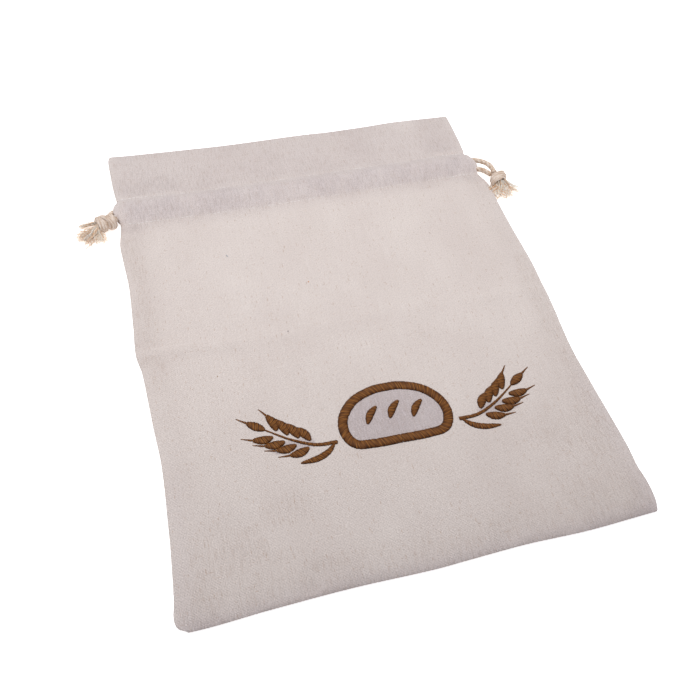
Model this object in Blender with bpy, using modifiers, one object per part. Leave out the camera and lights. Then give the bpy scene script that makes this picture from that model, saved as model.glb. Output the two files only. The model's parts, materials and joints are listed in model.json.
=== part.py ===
"""Linen drawstring bread bag, lying flat on its back with its mouth towards +Y.

One length of cloth is folded at the bottom and seamed up both sides. Its two ends are
turned to the inside at the mouth and stitched down in two rows, which leaves a plain
header above a casing. A cord runs through each half of the casing and comes out of a
slot at either end, where both cords are tied together in a knot with a frayed tassel.

The tables are in millimetres and the model in metres. Z = 0 is the surface under the
bag, and the origin is under the middle of the cloth.
"""

import math
from collections import namedtuple

import bmesh
import bpy
from mathutils import Matrix, Vector

MM = 0.001

# Driving dimensions, in millimetres.
CLOTH_THICKNESS = 1.0
LAYER_GAP = 0.3
CORD_DIAMETER = 4.0
HEM_INSET = 2.8
CASING_HEM_INSET = 10.0

# Heights of the middle of each flat layer of cloth, from the surface up.
LAYER_STEP = CLOTH_THICKNESS + LAYER_GAP
BACK_OUTER = CLOTH_THICKNESS / 2
BACK_HEM = BACK_OUTER + LAYER_STEP
FRONT_HEM = BACK_HEM + LAYER_STEP
FRONT_OUTER = FRONT_HEM + LAYER_STEP
HEADER_SEAM = (BACK_OUTER + FRONT_OUTER) / 2
BODY_SEAM = BACK_OUTER + 0.7
BOTTOM_FOLD = BACK_OUTER + 0.7

# The lines that run across the bag, as Y at each station of X.
Station = namedtuple("Station", "x mouth upper_stitch lower_stitch bottom")
STATIONS = (
    Station(-150, 201.2, 146.0, 118.0, -202.0),
    Station(-130, 200.2, 144.8, 116.9, -201.4),
    Station(-100, 198.8, 143.8, 116.0, -200.7),
    Station(-50, 197.6, 143.5, 115.7, -199.6),
    Station(0, 197.4, 143.5, 116.4, -201.0),
    Station(50, 197.9, 143.7, 117.3, -199.8),
    Station(100, 199.5, 144.4, 118.0, -200.0),
    Station(148, 198.2, 146.0, 119.0, -199.6),
)

# The two side edges, as X at each Y. The casing bulges between its two notches.
Side = namedtuple("Side", "y left right")
SIDES = (
    Side(201, -152.0, 145.7),
    Side(195, -152.2, 147.8),
    Side(165, -151.3, 147.3),
    Side(150, -150.1, 146.4),
    Side(146, -149.4, 145.4),
    Side(142, -149.7, 144.9),
    Side(137, -151.3, 145.8),
    Side(134, -152.4, 146.9),
    Side(130, -153.0, 148.0),
    Side(126, -151.4, 148.9),
    Side(121, -149.1, 148.9),
    Side(117, -149.1, 148.9),
    Side(107, -150.6, 151.7),
    Side(98, -151.6, 154.0),
    Side(55, -149.2, 152.8),
    Side(15, -150.1, 153.6),
    Side(-8, -150.8, 152.6),
    Side(-24, -148.1, 151.9),
    Side(-68, -146.0, 148.5),
    Side(-98, -144.3, 148.8),
    Side(-150, -145.8, 150.9),
    Side(-192, -148.7, 150.3),
    Side(-198, -147.0, 148.2),
    Side(-201, -144.2, 146.0),
)

# A place counts the lines down the bag: 0 mouth, 1 upper stitch, 2 lower stitch,
# 3 bottom fold. Each row of the outer cloth has the height of the front at the middle
# of the bag, the height at its side edge, and how far the front takes to rise from it.
Outer = namedtuple("Outer", "place front edge shoulder")
OUTER = (
    Outer(0.015, FRONT_OUTER, HEADER_SEAM, 1),
    Outer(0.30, FRONT_OUTER, HEADER_SEAM, 1),
    Outer(0.65, FRONT_OUTER, HEADER_SEAM, 1),
    Outer(0.90, FRONT_OUTER, HEADER_SEAM, 1),
    Outer(1.00, FRONT_OUTER, HEADER_SEAM, 1),
    Outer(1.10, 6.4, 4.8, 4),
    Outer(1.20, 8.2, 7.0, 4),
    Outer(1.31, 9.3, 8.2, 4),
    Outer(1.45, 9.4, 8.3, 4),
    Outer(1.60, 9.4, 8.1, 4),
    Outer(1.71, 9.4, 7.8, 4),
    Outer(1.80, 8.9, 7.2, 4),
    Outer(1.87, 7.7, 6.2, 4),
    Outer(1.94, 6.1, 4.4, 4),
    Outer(2.00, 4.6, HEADER_SEAM, 1),
    Outer(2.02, 4.6, HEADER_SEAM, 1),
    Outer(2.07, 4.7, 1.7, 6),
    Outer(2.15, 4.9, BODY_SEAM, 11),
    Outer(2.25, 5.1, BODY_SEAM, 12),
    Outer(2.34, 5.2, BODY_SEAM, 12),
    Outer(2.385, 5.2, BODY_SEAM, 12),
    Outer(2.405, 4.4, BODY_SEAM, 10),
    Outer(2.425, 5.1, BODY_SEAM, 12),
    Outer(2.50, 5.2, BODY_SEAM, 12),
    Outer(2.60, 5.2, BODY_SEAM, 12),
    Outer(2.70, 5.1, BODY_SEAM, 12),
    Outer(2.80, 4.8, BODY_SEAM, 12),
    Outer(2.88, 4.2, BODY_SEAM, 10),
    Outer(2.94, 3.3, BODY_SEAM, 8),
    Outer(2.975, 2.5, BODY_SEAM, 5),
    Outer(2.992, 2.1, BODY_SEAM, 3),
)

# Each row of the turned hem has the heights of its back and its front. Between places
# 1.5 and 1.9 the hem humps over the cord in the back of the casing.
Hem = namedtuple("Hem", "place back front inset")
HEM = (
    Hem(2.013, BACK_HEM, FRONT_HEM, HEM_INSET),
    Hem(2.00, BACK_HEM, FRONT_HEM, HEM_INSET),
    Hem(1.94, BACK_HEM, 3.6, CASING_HEM_INSET),
    Hem(1.87, 3.0, 5.5, CASING_HEM_INSET),
    Hem(1.80, 5.5, 7.4, CASING_HEM_INSET),
    Hem(1.715, 6.4, 7.9, CASING_HEM_INSET),
    Hem(1.64, 5.5, 7.4, CASING_HEM_INSET),
    Hem(1.57, 3.0, 5.5, CASING_HEM_INSET),
    Hem(1.49, BACK_HEM, 3.7, CASING_HEM_INSET),
    Hem(1.41, BACK_HEM, FRONT_HEM, CASING_HEM_INSET),
    Hem(1.15, BACK_HEM, FRONT_HEM, CASING_HEM_INSET),
    Hem(1.00, BACK_HEM, FRONT_HEM, HEM_INSET),
    Hem(0.65, BACK_HEM, FRONT_HEM, HEM_INSET),
    Hem(0.30, BACK_HEM, FRONT_HEM, HEM_INSET),
    Hem(0.015, BACK_HEM, FRONT_HEM, HEM_INSET),
)
SLOT_TOP, SLOT_BOTTOM = 1.0, 2.0

# Columns of the cloth: distances in from each side edge, then even steps between.
EDGE_COLUMNS = (0, 3, 8, 16, 30)
MIDDLE_STEPS = 12

# Routes of the two cords through the casing, from the left knot to the right one.
Point = namedtuple("Point", "x y z")
FRONT_CORD_ROUTE = (
    Point(-156.5, 127.1, 6.0),
    Point(-154.6, 130.7, 5.6),
    Point(-151.8, 132.7, 5.2),
    Point(-146.0, 134.0, 5.7),
    Point(-139.0, 134.2, 6.2),
    Point(-130.0, 133.7, 6.2),
    Point(-100.0, 132.7, 6.2),
    Point(-50.0, 132.4, 6.2),
    Point(0.0, 132.7, 6.2),
    Point(50.0, 133.1, 6.2),
    Point(100.0, 133.8, 6.2),
    Point(137.0, 134.8, 6.2),
    Point(143.0, 135.0, 5.7),
    Point(147.5, 134.5, 5.2),
    Point(153.2, 131.8, 5.6),
    Point(157.0, 128.4, 6.1),
    Point(159.5, 124.3, 6.4),
    Point(160.8, 119.4, 6.6),
    Point(161.4, 112.3, 6.4),
)
BACK_CORD_ROUTE = (
    Point(-152.4, 122.9, 4.2),
    Point(-150.0, 124.2, 3.7),
    Point(-146.0, 125.6, 3.3),
    Point(-135.0, 125.4, 3.3),
    Point(-100.0, 123.9, 3.3),
    Point(-50.0, 123.6, 3.3),
    Point(0.0, 124.1, 3.3),
    Point(50.0, 124.8, 3.3),
    Point(100.0, 125.5, 3.3),
    Point(138.0, 126.3, 3.3),
    Point(145.5, 125.5, 3.4),
    Point(150.2, 123.4, 3.9),
    Point(153.5, 120.3, 4.5),
    Point(155.4, 116.8, 5.0),
    Point(157.1, 111.7, 5.7),
)
CORD_POINTS_PER_STEP = 3

# Each knot is a doubled cord wound round itself, and each tassel is its frayed end.
Knot = namedtuple("Knot", "name x y z heading half_length half_width half_height")
KNOTS = (
    Knot("knot_left", -159.3, 120.5, 6.2, -168, 7.8, 6.6, 5.9),
    Knot("knot_right", 161.3, 106.3, 6.1, -95, 6.0, 7.0, 5.7),
)
KNOT_WRAPS = 3
WRAP_DEPTH = 0.07

Tassel = namedtuple("Tassel", "name x y z heading length root_width tip_width")
TASSELS = (
    Tassel("tassel_left", -166.8, 118.5, 3.4, -157, 14.5, 8.0, 27.0),
    Tassel("tassel_right", 161.0, 99.9, 3.4, -74, 10.5, 8.0, 16.0),
)
TASSEL_HEIGHT = 6.0
TASSEL_TIP_HEIGHT = 3.4
TASSEL_RINGS = 4
TASSEL_SIDES = 20
TIP_LENGTH = 1.5
RIM_BOW = 0.35
RIM_TOOTH = 0.6
RIM_TEETH = 4


def clear_scene():
    for obj in list(bpy.data.objects):
        bpy.data.objects.remove(obj, do_unlink=True)


def make_collection(name):
    collection = bpy.data.collections.new(name)
    bpy.context.scene.collection.children.link(collection)
    return collection


def make_material(name, colour, roughness):
    material = bpy.data.materials.new(name)
    material.use_nodes = True
    shader = material.node_tree.nodes["Principled BSDF"]
    shader.inputs["Base Color"].default_value = (*colour, 1.0)
    shader.inputs["Roughness"].default_value = roughness
    shader.inputs["Metallic"].default_value = 0.0
    return material


def add_mesh(name, bm, collection, material):
    """Turn a bmesh into a smooth-shaded object of the collection."""
    mesh = bpy.data.meshes.new(name)
    bm.to_mesh(mesh)
    bm.free()
    mesh.shade_smooth()
    mesh.materials.append(material)
    obj = bpy.data.objects.new(name, mesh)
    collection.objects.link(obj)
    return obj


def cubic(before, start, end, after, t):
    """Point at t of the smooth curve from start to end, given their outer neighbours."""
    slope_in = (end - before) / 2
    slope_out = (after - start) / 2
    return (
        start * (2 * t**3 - 3 * t**2 + 1)
        + slope_in * (t**3 - 2 * t**2 + t)
        + end * (3 * t**2 - 2 * t**3)
        + slope_out * (t**3 - t**2)
    )


def read_smoothly(table, key, column, value):
    """Value of a table's column at a key, on a smooth curve through its rows."""
    rows = sorted(table, key=lambda row: getattr(row, key))
    value = min(max(value, getattr(rows[0], key)), getattr(rows[-1], key))
    above = 1
    while getattr(rows[above], key) < value:
        above += 1
    low, high = rows[above - 1], rows[above]
    span = getattr(high, key) - getattr(low, key)
    near = [rows[max(above - 2, 0)], low, high, rows[min(above + 1, len(rows) - 1)]]
    t = (value - getattr(low, key)) / span
    return cubic(*(getattr(row, column) for row in near), t)


def line_y(place, x):
    """Y of a place down the bag, at X across it."""
    lines = ("mouth", "upper_stitch", "lower_stitch", "bottom")
    above = min(int(place), len(lines) - 2)
    upper, lower = (read_smoothly(STATIONS, "x", name, x) for name in lines[above : above + 2])
    return upper + (lower - upper) * (place - above)


def columns_between(left, right):
    """X of every column between the two side edges, and its distance from the nearer one."""
    inner = EDGE_COLUMNS[-1]
    step = (right - left - 2 * inner) / MIDDLE_STEPS
    middle = [left + inner + step * count for count in range(1, MIDDLE_STEPS)]
    across = [left + offset for offset in EDGE_COLUMNS]
    across += middle
    across += [right - offset for offset in reversed(EDGE_COLUMNS)]
    return [(x, min(x - left, right - x)) for x in across]


def lay_row(place, inset, height):
    """Points of one row of cloth. height(distance) gives Z at a distance from the edge."""
    left_y = line_y(place, STATIONS[0].x)
    right_y = line_y(place, STATIONS[-1].x)
    left = read_smoothly(SIDES, "y", "left", left_y) + inset
    right = read_smoothly(SIDES, "y", "right", right_y) - inset
    return [
        Vector((x, line_y(place, x), height(distance))) * MM
        for x, distance in columns_between(left, right)
    ]


def rise(distance, shoulder):
    """How far a layer has risen from its side edge: 0 there, and 1 well inside."""
    return 1 - math.exp(-distance / shoulder)


def in_slot(place):
    """Whether the side seam is left open at a place, for the cords to come out."""
    return SLOT_TOP < place < SLOT_BOTTOM


def outer_row(row, front):
    edge = BACK_OUTER if in_slot(row.place) and not front else row.edge
    middle = row.front if front else BACK_OUTER
    shoulder = row.shoulder if front else 1
    return lay_row(row.place, 0, lambda d: edge + (middle - edge) * rise(d, shoulder))


def hem_row(row, front):
    middle = row.front if front else row.back
    edge = middle if in_slot(row.place) else (row.front + row.back) / 2
    return lay_row(row.place, row.inset, lambda d: edge + (middle - edge) * rise(d, 1))


def mouth_fold(front):
    layers = (FRONT_OUTER, FRONT_HEM) if front else (BACK_OUTER, BACK_HEM)
    middle = sum(layers) / 2
    seam = HEADER_SEAM
    return lay_row(0, HEM_INSET / 2, lambda d: seam + (middle - seam) * rise(d, 1))


def strip_rows():
    """Rows of the whole length of cloth, from the front hem's edge to the back hem's."""
    front_half = [hem_row(row, True) for row in HEM]
    front_half.append(mouth_fold(True))
    front_half += [outer_row(row, True) for row in OUTER]
    back_half = [hem_row(row, False) for row in HEM]
    back_half.append(mouth_fold(False))
    back_half += [outer_row(row, False) for row in OUTER]
    bottom = lay_row(3, 0, lambda d: BOTTOM_FOLD)
    # The fold's two ends are drawn into the side seams, which rounds the corners.
    bottom[0], bottom[-1] = front_half[-1][0], front_half[-1][-1]
    return front_half + [bottom] + back_half[::-1]


def make_cloth(collection, material):
    """The bag's single cloth: a grid laid along the strip, seamed where its edges meet."""
    rows = strip_rows()
    across, along = len(rows[0]) - 1, len(rows) - 1
    bm = bmesh.new()
    bmesh.ops.create_grid(bm, x_segments=across, y_segments=along, size=0.5)
    for vert in bm.verts:
        column = round((vert.co.x + 0.5) * across)
        row = round((vert.co.y + 0.5) * along)
        vert.co = rows[row][column]
    bmesh.ops.remove_doubles(bm, verts=bm.verts, dist=0.001 * MM)
    cloth = add_mesh("bag_cloth", bm, collection, material)
    thickness = cloth.modifiers.new("cloth_thickness", "SOLIDIFY")
    thickness.thickness = CLOTH_THICKNESS * MM
    thickness.offset = 0.0
    return cloth


def smooth_route(route, steps):
    """Points on a smooth curve through the route, with a number of steps to each leg."""
    points = [Vector(point) for point in route]
    ends = [2 * points[0] - points[1], *points, 2 * points[-1] - points[-2]]
    curve = []
    for leg in range(len(points) - 1):
        curve += [cubic(*ends[leg : leg + 4], step / steps) for step in range(steps)]
    return curve + [points[-1]]


def make_cord(name, route, collection, material):
    """A round cord: a tube with filled ends along its route."""
    curve = bpy.data.curves.new(name, "CURVE")
    curve.dimensions = "3D"
    curve.bevel_depth = CORD_DIAMETER / 2 * MM
    curve.bevel_resolution = 3
    curve.use_fill_caps = True
    points = smooth_route(route, CORD_POINTS_PER_STEP)
    spline = curve.splines.new("POLY")
    spline.points.add(len(points) - 1)
    for target, point in zip(spline.points, points):
        target.co = (*(point * MM), 1.0)
    curve.materials.append(material)
    cord = bpy.data.objects.new(name, curve)
    collection.objects.link(cord)
    return cord


def make_knot(knot, collection, material):
    """A tight knot: a rounded lump with diagonal wraps, its length along its heading."""
    bm = bmesh.new()
    bmesh.ops.create_uvsphere(bm, u_segments=20, v_segments=14, radius=1.0)
    for vert in bm.verts:
        turn = math.atan2(vert.co.y, vert.co.x)
        fullness = 1 - vert.co.z**2
        wrap = math.cos(math.pi * KNOT_WRAPS * vert.co.z + turn)
        vert.co *= 1 + WRAP_DEPTH * fullness * wrap
    bmesh.ops.rotate(bm, verts=bm.verts, matrix=Matrix.Rotation(math.pi / 2, 3, "Y"))
    size = Vector((knot.half_length, knot.half_width, knot.half_height)) / (1 + WRAP_DEPTH)
    bmesh.ops.scale(bm, verts=bm.verts, vec=size * MM)
    obj = add_mesh(knot.name, bm, collection, material)
    obj.location = Vector((knot.x, knot.y, knot.z)) * MM
    obj.rotation_euler.z = math.radians(knot.heading)
    return obj


def make_tassel(tassel, collection, material):
    """A frayed end: a flat fan swept outwards ring by ring, with a ragged rim."""
    bm = bmesh.new()
    rim = bmesh.ops.create_circle(bm, segments=TASSEL_SIDES, radius=0.5)["verts"]
    bmesh.ops.rotate(bm, verts=rim, matrix=Matrix.Rotation(math.pi / 2, 3, "Y"))
    bmesh.ops.scale(bm, verts=rim, vec=(1, tassel.root_width, TASSEL_HEIGHT))
    root_edges = bm.edges[:]
    edges = root_edges
    width, height = tassel.root_width, TASSEL_HEIGHT
    for ring in range(1, TASSEL_RINGS + 1):
        made = bmesh.ops.extrude_edge_only(bm, edges=edges)["geom"]
        rim = [item for item in made if isinstance(item, bmesh.types.BMVert)]
        edges = [item for item in made if isinstance(item, bmesh.types.BMEdge)]
        along = ring / TASSEL_RINGS
        new_width = tassel.root_width + (tassel.tip_width - tassel.root_width) * along
        new_height = TASSEL_HEIGHT + (TASSEL_TIP_HEIGHT - TASSEL_HEIGHT) * along**2
        for vert in rim:
            vert.co.x = tassel.length * along
            vert.co.y *= new_width / width
            vert.co.z = (vert.co.z + TASSEL_HEIGHT / 2) * new_height / height - TASSEL_HEIGHT / 2
        width, height = new_width, new_height
    made = bmesh.ops.extrude_edge_only(bm, edges=edges)["geom"]
    tips = [item for item in made if isinstance(item, bmesh.types.BMVert)]
    for vert in tips:
        vert.co.x += TIP_LENGTH
        vert.co.z = (new_height - TASSEL_HEIGHT) / 2
    bmesh.ops.remove_doubles(bm, verts=tips, dist=0.001)
    for vert in bm.verts:
        along = vert.co.x / tassel.length
        spread = 2 * vert.co.y / tassel.tip_width
        bow = RIM_BOW * tassel.length * spread**2
        tooth = RIM_TOOTH * math.cos(RIM_TEETH * math.pi * spread)
        vert.co.x += (tooth - bow) * along
    bmesh.ops.holes_fill(bm, edges=root_edges, sides=TASSEL_SIDES)
    bmesh.ops.recalc_face_normals(bm, faces=bm.faces)
    if bm.calc_volume(signed=True) < 0:
        bmesh.ops.reverse_faces(bm, faces=bm.faces)
    bmesh.ops.scale(bm, verts=bm.verts, vec=(MM, MM, MM))
    obj = add_mesh(tassel.name, bm, collection, material)
    obj.location = Vector((tassel.x, tassel.y, tassel.z)) * MM
    obj.rotation_euler.z = math.radians(tassel.heading)
    return obj


def main():
    clear_scene()
    bag = make_collection("linen_bread_bag")
    linen = make_material("linen_cotton_cloth", (0.72, 0.65, 0.60), 0.9)
    cotton = make_material("cotton_cord", (0.66, 0.55, 0.42), 0.9)
    fibre = make_material("frayed_cotton", (0.76, 0.59, 0.40), 0.95)
    make_cloth(bag, linen)
    make_cord("drawcord_front", FRONT_CORD_ROUTE, bag, cotton)
    make_cord("drawcord_back", BACK_CORD_ROUTE, bag, cotton)
    for knot in KNOTS:
        make_knot(knot, bag, cotton)
    for tassel in TASSELS:
        make_tassel(tassel, bag, fibre)


main()
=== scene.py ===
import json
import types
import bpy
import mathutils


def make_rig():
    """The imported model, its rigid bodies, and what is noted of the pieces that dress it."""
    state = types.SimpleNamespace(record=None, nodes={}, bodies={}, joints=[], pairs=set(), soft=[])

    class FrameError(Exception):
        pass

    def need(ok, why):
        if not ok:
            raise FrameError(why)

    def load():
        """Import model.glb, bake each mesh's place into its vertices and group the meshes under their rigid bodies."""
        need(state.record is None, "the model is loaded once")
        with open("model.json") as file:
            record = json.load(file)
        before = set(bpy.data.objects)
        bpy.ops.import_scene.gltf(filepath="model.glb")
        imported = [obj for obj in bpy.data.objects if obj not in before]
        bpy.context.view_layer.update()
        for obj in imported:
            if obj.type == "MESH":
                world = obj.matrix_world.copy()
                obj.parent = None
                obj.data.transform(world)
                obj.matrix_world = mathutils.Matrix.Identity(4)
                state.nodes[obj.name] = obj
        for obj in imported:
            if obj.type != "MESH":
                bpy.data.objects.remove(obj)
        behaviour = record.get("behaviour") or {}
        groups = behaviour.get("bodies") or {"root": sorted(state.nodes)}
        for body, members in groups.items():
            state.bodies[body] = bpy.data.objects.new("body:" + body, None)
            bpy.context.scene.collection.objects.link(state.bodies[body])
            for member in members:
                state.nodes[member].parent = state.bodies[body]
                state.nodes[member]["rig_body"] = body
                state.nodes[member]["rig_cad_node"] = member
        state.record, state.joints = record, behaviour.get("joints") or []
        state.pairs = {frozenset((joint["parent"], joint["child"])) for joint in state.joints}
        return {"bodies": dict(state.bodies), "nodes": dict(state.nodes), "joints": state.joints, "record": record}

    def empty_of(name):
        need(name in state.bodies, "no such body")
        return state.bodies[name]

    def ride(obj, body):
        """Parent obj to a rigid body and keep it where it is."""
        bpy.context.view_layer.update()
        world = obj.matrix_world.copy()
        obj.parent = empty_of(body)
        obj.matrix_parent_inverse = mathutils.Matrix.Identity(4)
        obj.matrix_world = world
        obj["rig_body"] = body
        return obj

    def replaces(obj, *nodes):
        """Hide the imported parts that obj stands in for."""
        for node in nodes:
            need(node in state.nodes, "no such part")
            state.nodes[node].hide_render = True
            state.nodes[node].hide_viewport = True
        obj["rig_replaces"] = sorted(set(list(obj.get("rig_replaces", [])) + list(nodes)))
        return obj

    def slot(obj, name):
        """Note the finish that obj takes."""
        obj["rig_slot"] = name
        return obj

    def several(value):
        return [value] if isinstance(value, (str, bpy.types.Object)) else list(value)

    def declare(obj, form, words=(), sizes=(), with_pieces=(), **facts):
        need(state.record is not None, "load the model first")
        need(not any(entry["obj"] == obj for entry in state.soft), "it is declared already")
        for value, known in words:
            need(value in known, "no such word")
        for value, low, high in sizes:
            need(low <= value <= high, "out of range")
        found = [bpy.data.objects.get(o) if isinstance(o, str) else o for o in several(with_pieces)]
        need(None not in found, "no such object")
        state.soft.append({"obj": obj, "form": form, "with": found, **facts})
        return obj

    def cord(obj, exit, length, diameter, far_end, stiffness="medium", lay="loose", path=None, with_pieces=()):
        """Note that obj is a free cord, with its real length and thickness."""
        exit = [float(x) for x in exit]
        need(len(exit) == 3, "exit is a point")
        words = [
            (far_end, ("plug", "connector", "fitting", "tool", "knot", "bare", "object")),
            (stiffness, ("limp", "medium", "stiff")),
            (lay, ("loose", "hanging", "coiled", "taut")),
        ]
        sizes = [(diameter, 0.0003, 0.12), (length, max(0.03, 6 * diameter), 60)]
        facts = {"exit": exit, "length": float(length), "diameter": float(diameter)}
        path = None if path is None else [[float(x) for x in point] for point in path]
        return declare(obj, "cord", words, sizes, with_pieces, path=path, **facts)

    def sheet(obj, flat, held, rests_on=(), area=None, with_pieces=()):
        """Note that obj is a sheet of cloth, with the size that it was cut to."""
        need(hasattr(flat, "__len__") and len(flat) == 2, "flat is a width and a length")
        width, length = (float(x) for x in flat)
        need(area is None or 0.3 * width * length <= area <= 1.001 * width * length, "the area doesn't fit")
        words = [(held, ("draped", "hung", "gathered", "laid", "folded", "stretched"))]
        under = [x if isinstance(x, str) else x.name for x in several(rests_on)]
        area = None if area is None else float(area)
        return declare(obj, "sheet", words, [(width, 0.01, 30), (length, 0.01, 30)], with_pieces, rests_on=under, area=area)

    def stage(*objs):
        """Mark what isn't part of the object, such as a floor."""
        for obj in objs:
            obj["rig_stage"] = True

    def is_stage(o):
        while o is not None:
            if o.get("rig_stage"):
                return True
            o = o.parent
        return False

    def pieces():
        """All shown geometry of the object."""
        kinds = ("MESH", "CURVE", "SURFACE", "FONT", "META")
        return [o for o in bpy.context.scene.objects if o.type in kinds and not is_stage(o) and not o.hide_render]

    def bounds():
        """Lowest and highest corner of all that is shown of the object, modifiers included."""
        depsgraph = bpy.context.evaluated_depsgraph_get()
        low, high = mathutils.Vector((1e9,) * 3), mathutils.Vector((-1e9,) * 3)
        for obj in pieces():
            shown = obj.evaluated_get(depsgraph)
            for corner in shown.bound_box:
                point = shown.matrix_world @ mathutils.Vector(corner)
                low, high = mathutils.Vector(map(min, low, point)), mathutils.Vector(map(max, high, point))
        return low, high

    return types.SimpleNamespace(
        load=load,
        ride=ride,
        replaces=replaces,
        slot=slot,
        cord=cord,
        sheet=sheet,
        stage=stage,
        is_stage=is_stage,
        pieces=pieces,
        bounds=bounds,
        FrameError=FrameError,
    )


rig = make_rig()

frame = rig.load()
cad_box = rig.bounds()

# A linen drawstring bread bag lying flat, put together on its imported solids. X runs across
# the bag, Y towards its mouth and Z up out of its embroidered front. The tables are in
# millimetres unless they say metres, and every mesh is made in metres.

import json
import math
import random
from collections import namedtuple

import bmesh
import bpy
from mathutils import Matrix, Vector, noise


# ---------------------------------------------------------------------------------------
# Camera. It looks down at the bag from the lower left of its bottom fold, as someone
# standing at a table would.

CAMERA_PLACE = (-0.1134, -0.3430, 0.4363)
CAMERA_TURN = (36.664, -2.982, -15.189)
CAMERA_LENS = 39.85


def add_to_scene(name, data):
    """An object of the scene, made from its camera, mesh or light."""
    added = bpy.data.objects.new(name, data)
    bpy.context.scene.collection.objects.link(added)
    return added


camera = add_to_scene("camera", bpy.data.cameras.new("camera"))
camera.data.sensor_width = 36.0
camera.data.lens = CAMERA_LENS
camera.location = CAMERA_PLACE
camera.rotation_euler = [math.radians(angle) for angle in CAMERA_TURN]
bpy.context.scene.camera = camera


# ---------------------------------------------------------------------------------------
# Drawcords. Two lengths of soft three-strand cotton cord, 4 mm thick, undyed. One runs in
# the front of the casing and one in the back, and both leave it by the slots at its ends.

MM = 0.001
CORD_DIAMETER = 4.0 * MM
CORD_STEP = 0.7 * MM
CORD_SIDES = 24
STRANDS = 3
LAY_LENGTH = 15.0 * MM
GROOVE_DEPTH = 0.05
CROWN_REACH = 1.03
CROWN_ROUNDNESS = 0.7
UNEVENNESS = 0.05
UNEVEN_LENGTH = 3.0 * MM
WELD_GAP = 0.001 * MM

# Routes in metres, from the left knot to the right one.
FRONT_CORD_ROUTE = (
    (-0.1570, 0.1255, 0.0062), (-0.1554, 0.1296, 0.0058), (-0.1518, 0.1327, 0.0052),
    (-0.1460, 0.1340, 0.0057), (-0.1390, 0.1342, 0.0062), (-0.1300, 0.1337, 0.0062),
    (-0.1000, 0.1327, 0.0062), (-0.0500, 0.1324, 0.0062), (0.0000, 0.1327, 0.0062),
    (0.0500, 0.1331, 0.0062), (0.1000, 0.1338, 0.0062), (0.1370, 0.1348, 0.0062),
    (0.1430, 0.1351, 0.0057), (0.1475, 0.1345, 0.0052), (0.1532, 0.1318, 0.0056),
    (0.1570, 0.1284, 0.0061), (0.1595, 0.1243, 0.0064), (0.1606, 0.1194, 0.0066),
    (0.1608, 0.1140, 0.0064),
)
BACK_CORD_ROUTE = (
    (-0.1540, 0.1238, 0.0048), (-0.1506, 0.1258, 0.0040), (-0.1460, 0.1262, 0.0034),
    (-0.1350, 0.1254, 0.0033), (-0.1000, 0.1239, 0.0033), (-0.0500, 0.1236, 0.0033),
    (0.0000, 0.1241, 0.0033), (0.0500, 0.1248, 0.0033), (0.1000, 0.1255, 0.0033),
    (0.1380, 0.1263, 0.0033), (0.1455, 0.1254, 0.0034), (0.1502, 0.1234, 0.0039),
    (0.1535, 0.1203, 0.0045), (0.1556, 0.1168, 0.0050), (0.1573, 0.1132, 0.0055),
)
PARTS_PER_LEG = 40
STEP_TOLERANCE = 0.001


def blend_points(before, start, end, after, t):
    """Point at t of the smooth curve from start to end, given their outer neighbours."""
    slope_in = (end - before) / 2
    slope_out = (after - start) / 2
    return (
        start * (2 * t**3 - 3 * t**2 + 1)
        + slope_in * (t**3 - 2 * t**2 + t)
        + end * (3 * t**2 - 2 * t**3)
        + slope_out * (t**3 - t**2)
    )


def line_length(line):
    return sum((b - a).length for a, b in zip(line, line[1:]))


def smooth_line(route, step):
    """Points a step apart on the smooth curve through a route, with both its ends."""
    points = [Vector(point) for point in route]
    ends = [2 * points[0] - points[1], *points, 2 * points[-1] - points[-2]]
    fine = []
    for leg in range(len(points) - 1):
        for part in range(PARTS_PER_LEG):
            fine.append(blend_points(*ends[leg : leg + 4], part / PARTS_PER_LEG))
    fine.append(points[-1])
    total = line_length(fine)
    spacing = total / max(1, round(total / step))
    line, walked, wanted = [fine[0]], 0.0, spacing
    for a, b in zip(fine, fine[1:]):
        length = (b - a).length
        while walked + length >= wanted - spacing * STEP_TOLERANCE:
            line.append(a.lerp(b, min(1.0, (wanted - walked) / length)))
            wanted += spacing
        walked += length
    return line


def way_ahead(line, index):
    return (line[min(index + 1, len(line) - 1)] - line[max(index - 1, 0)]).normalized()


def side_directions(line):
    """Two directions square to the line at each of its points, carried along untwisted."""
    found = []
    side = Vector((0, 0, 1)).cross(line[1] - line[0])
    for index in range(len(line)):
        ahead = way_ahead(line, index)
        side = (side - ahead * side.dot(ahead)).normalized()
        found.append((side, ahead.cross(side)))
    return found


def strand_groove(turn):
    """0 on the crown of a strand and 1 down between two, at an angle round a cord."""
    return 1 - abs(math.cos(turn * STRANDS / 2)) ** CROWN_ROUNDNESS


def find_layer(layers, name):
    """A layer of a bmesh, made if it isn't there yet."""
    return layers.get(name) or layers.new(name)


def grid_step(vert, across, along):
    """Column and row of a vertex of a new grid, which has this many of each."""
    return round((vert.co.x + 0.5) * across), round((vert.co.y + 0.5) * along)


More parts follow.
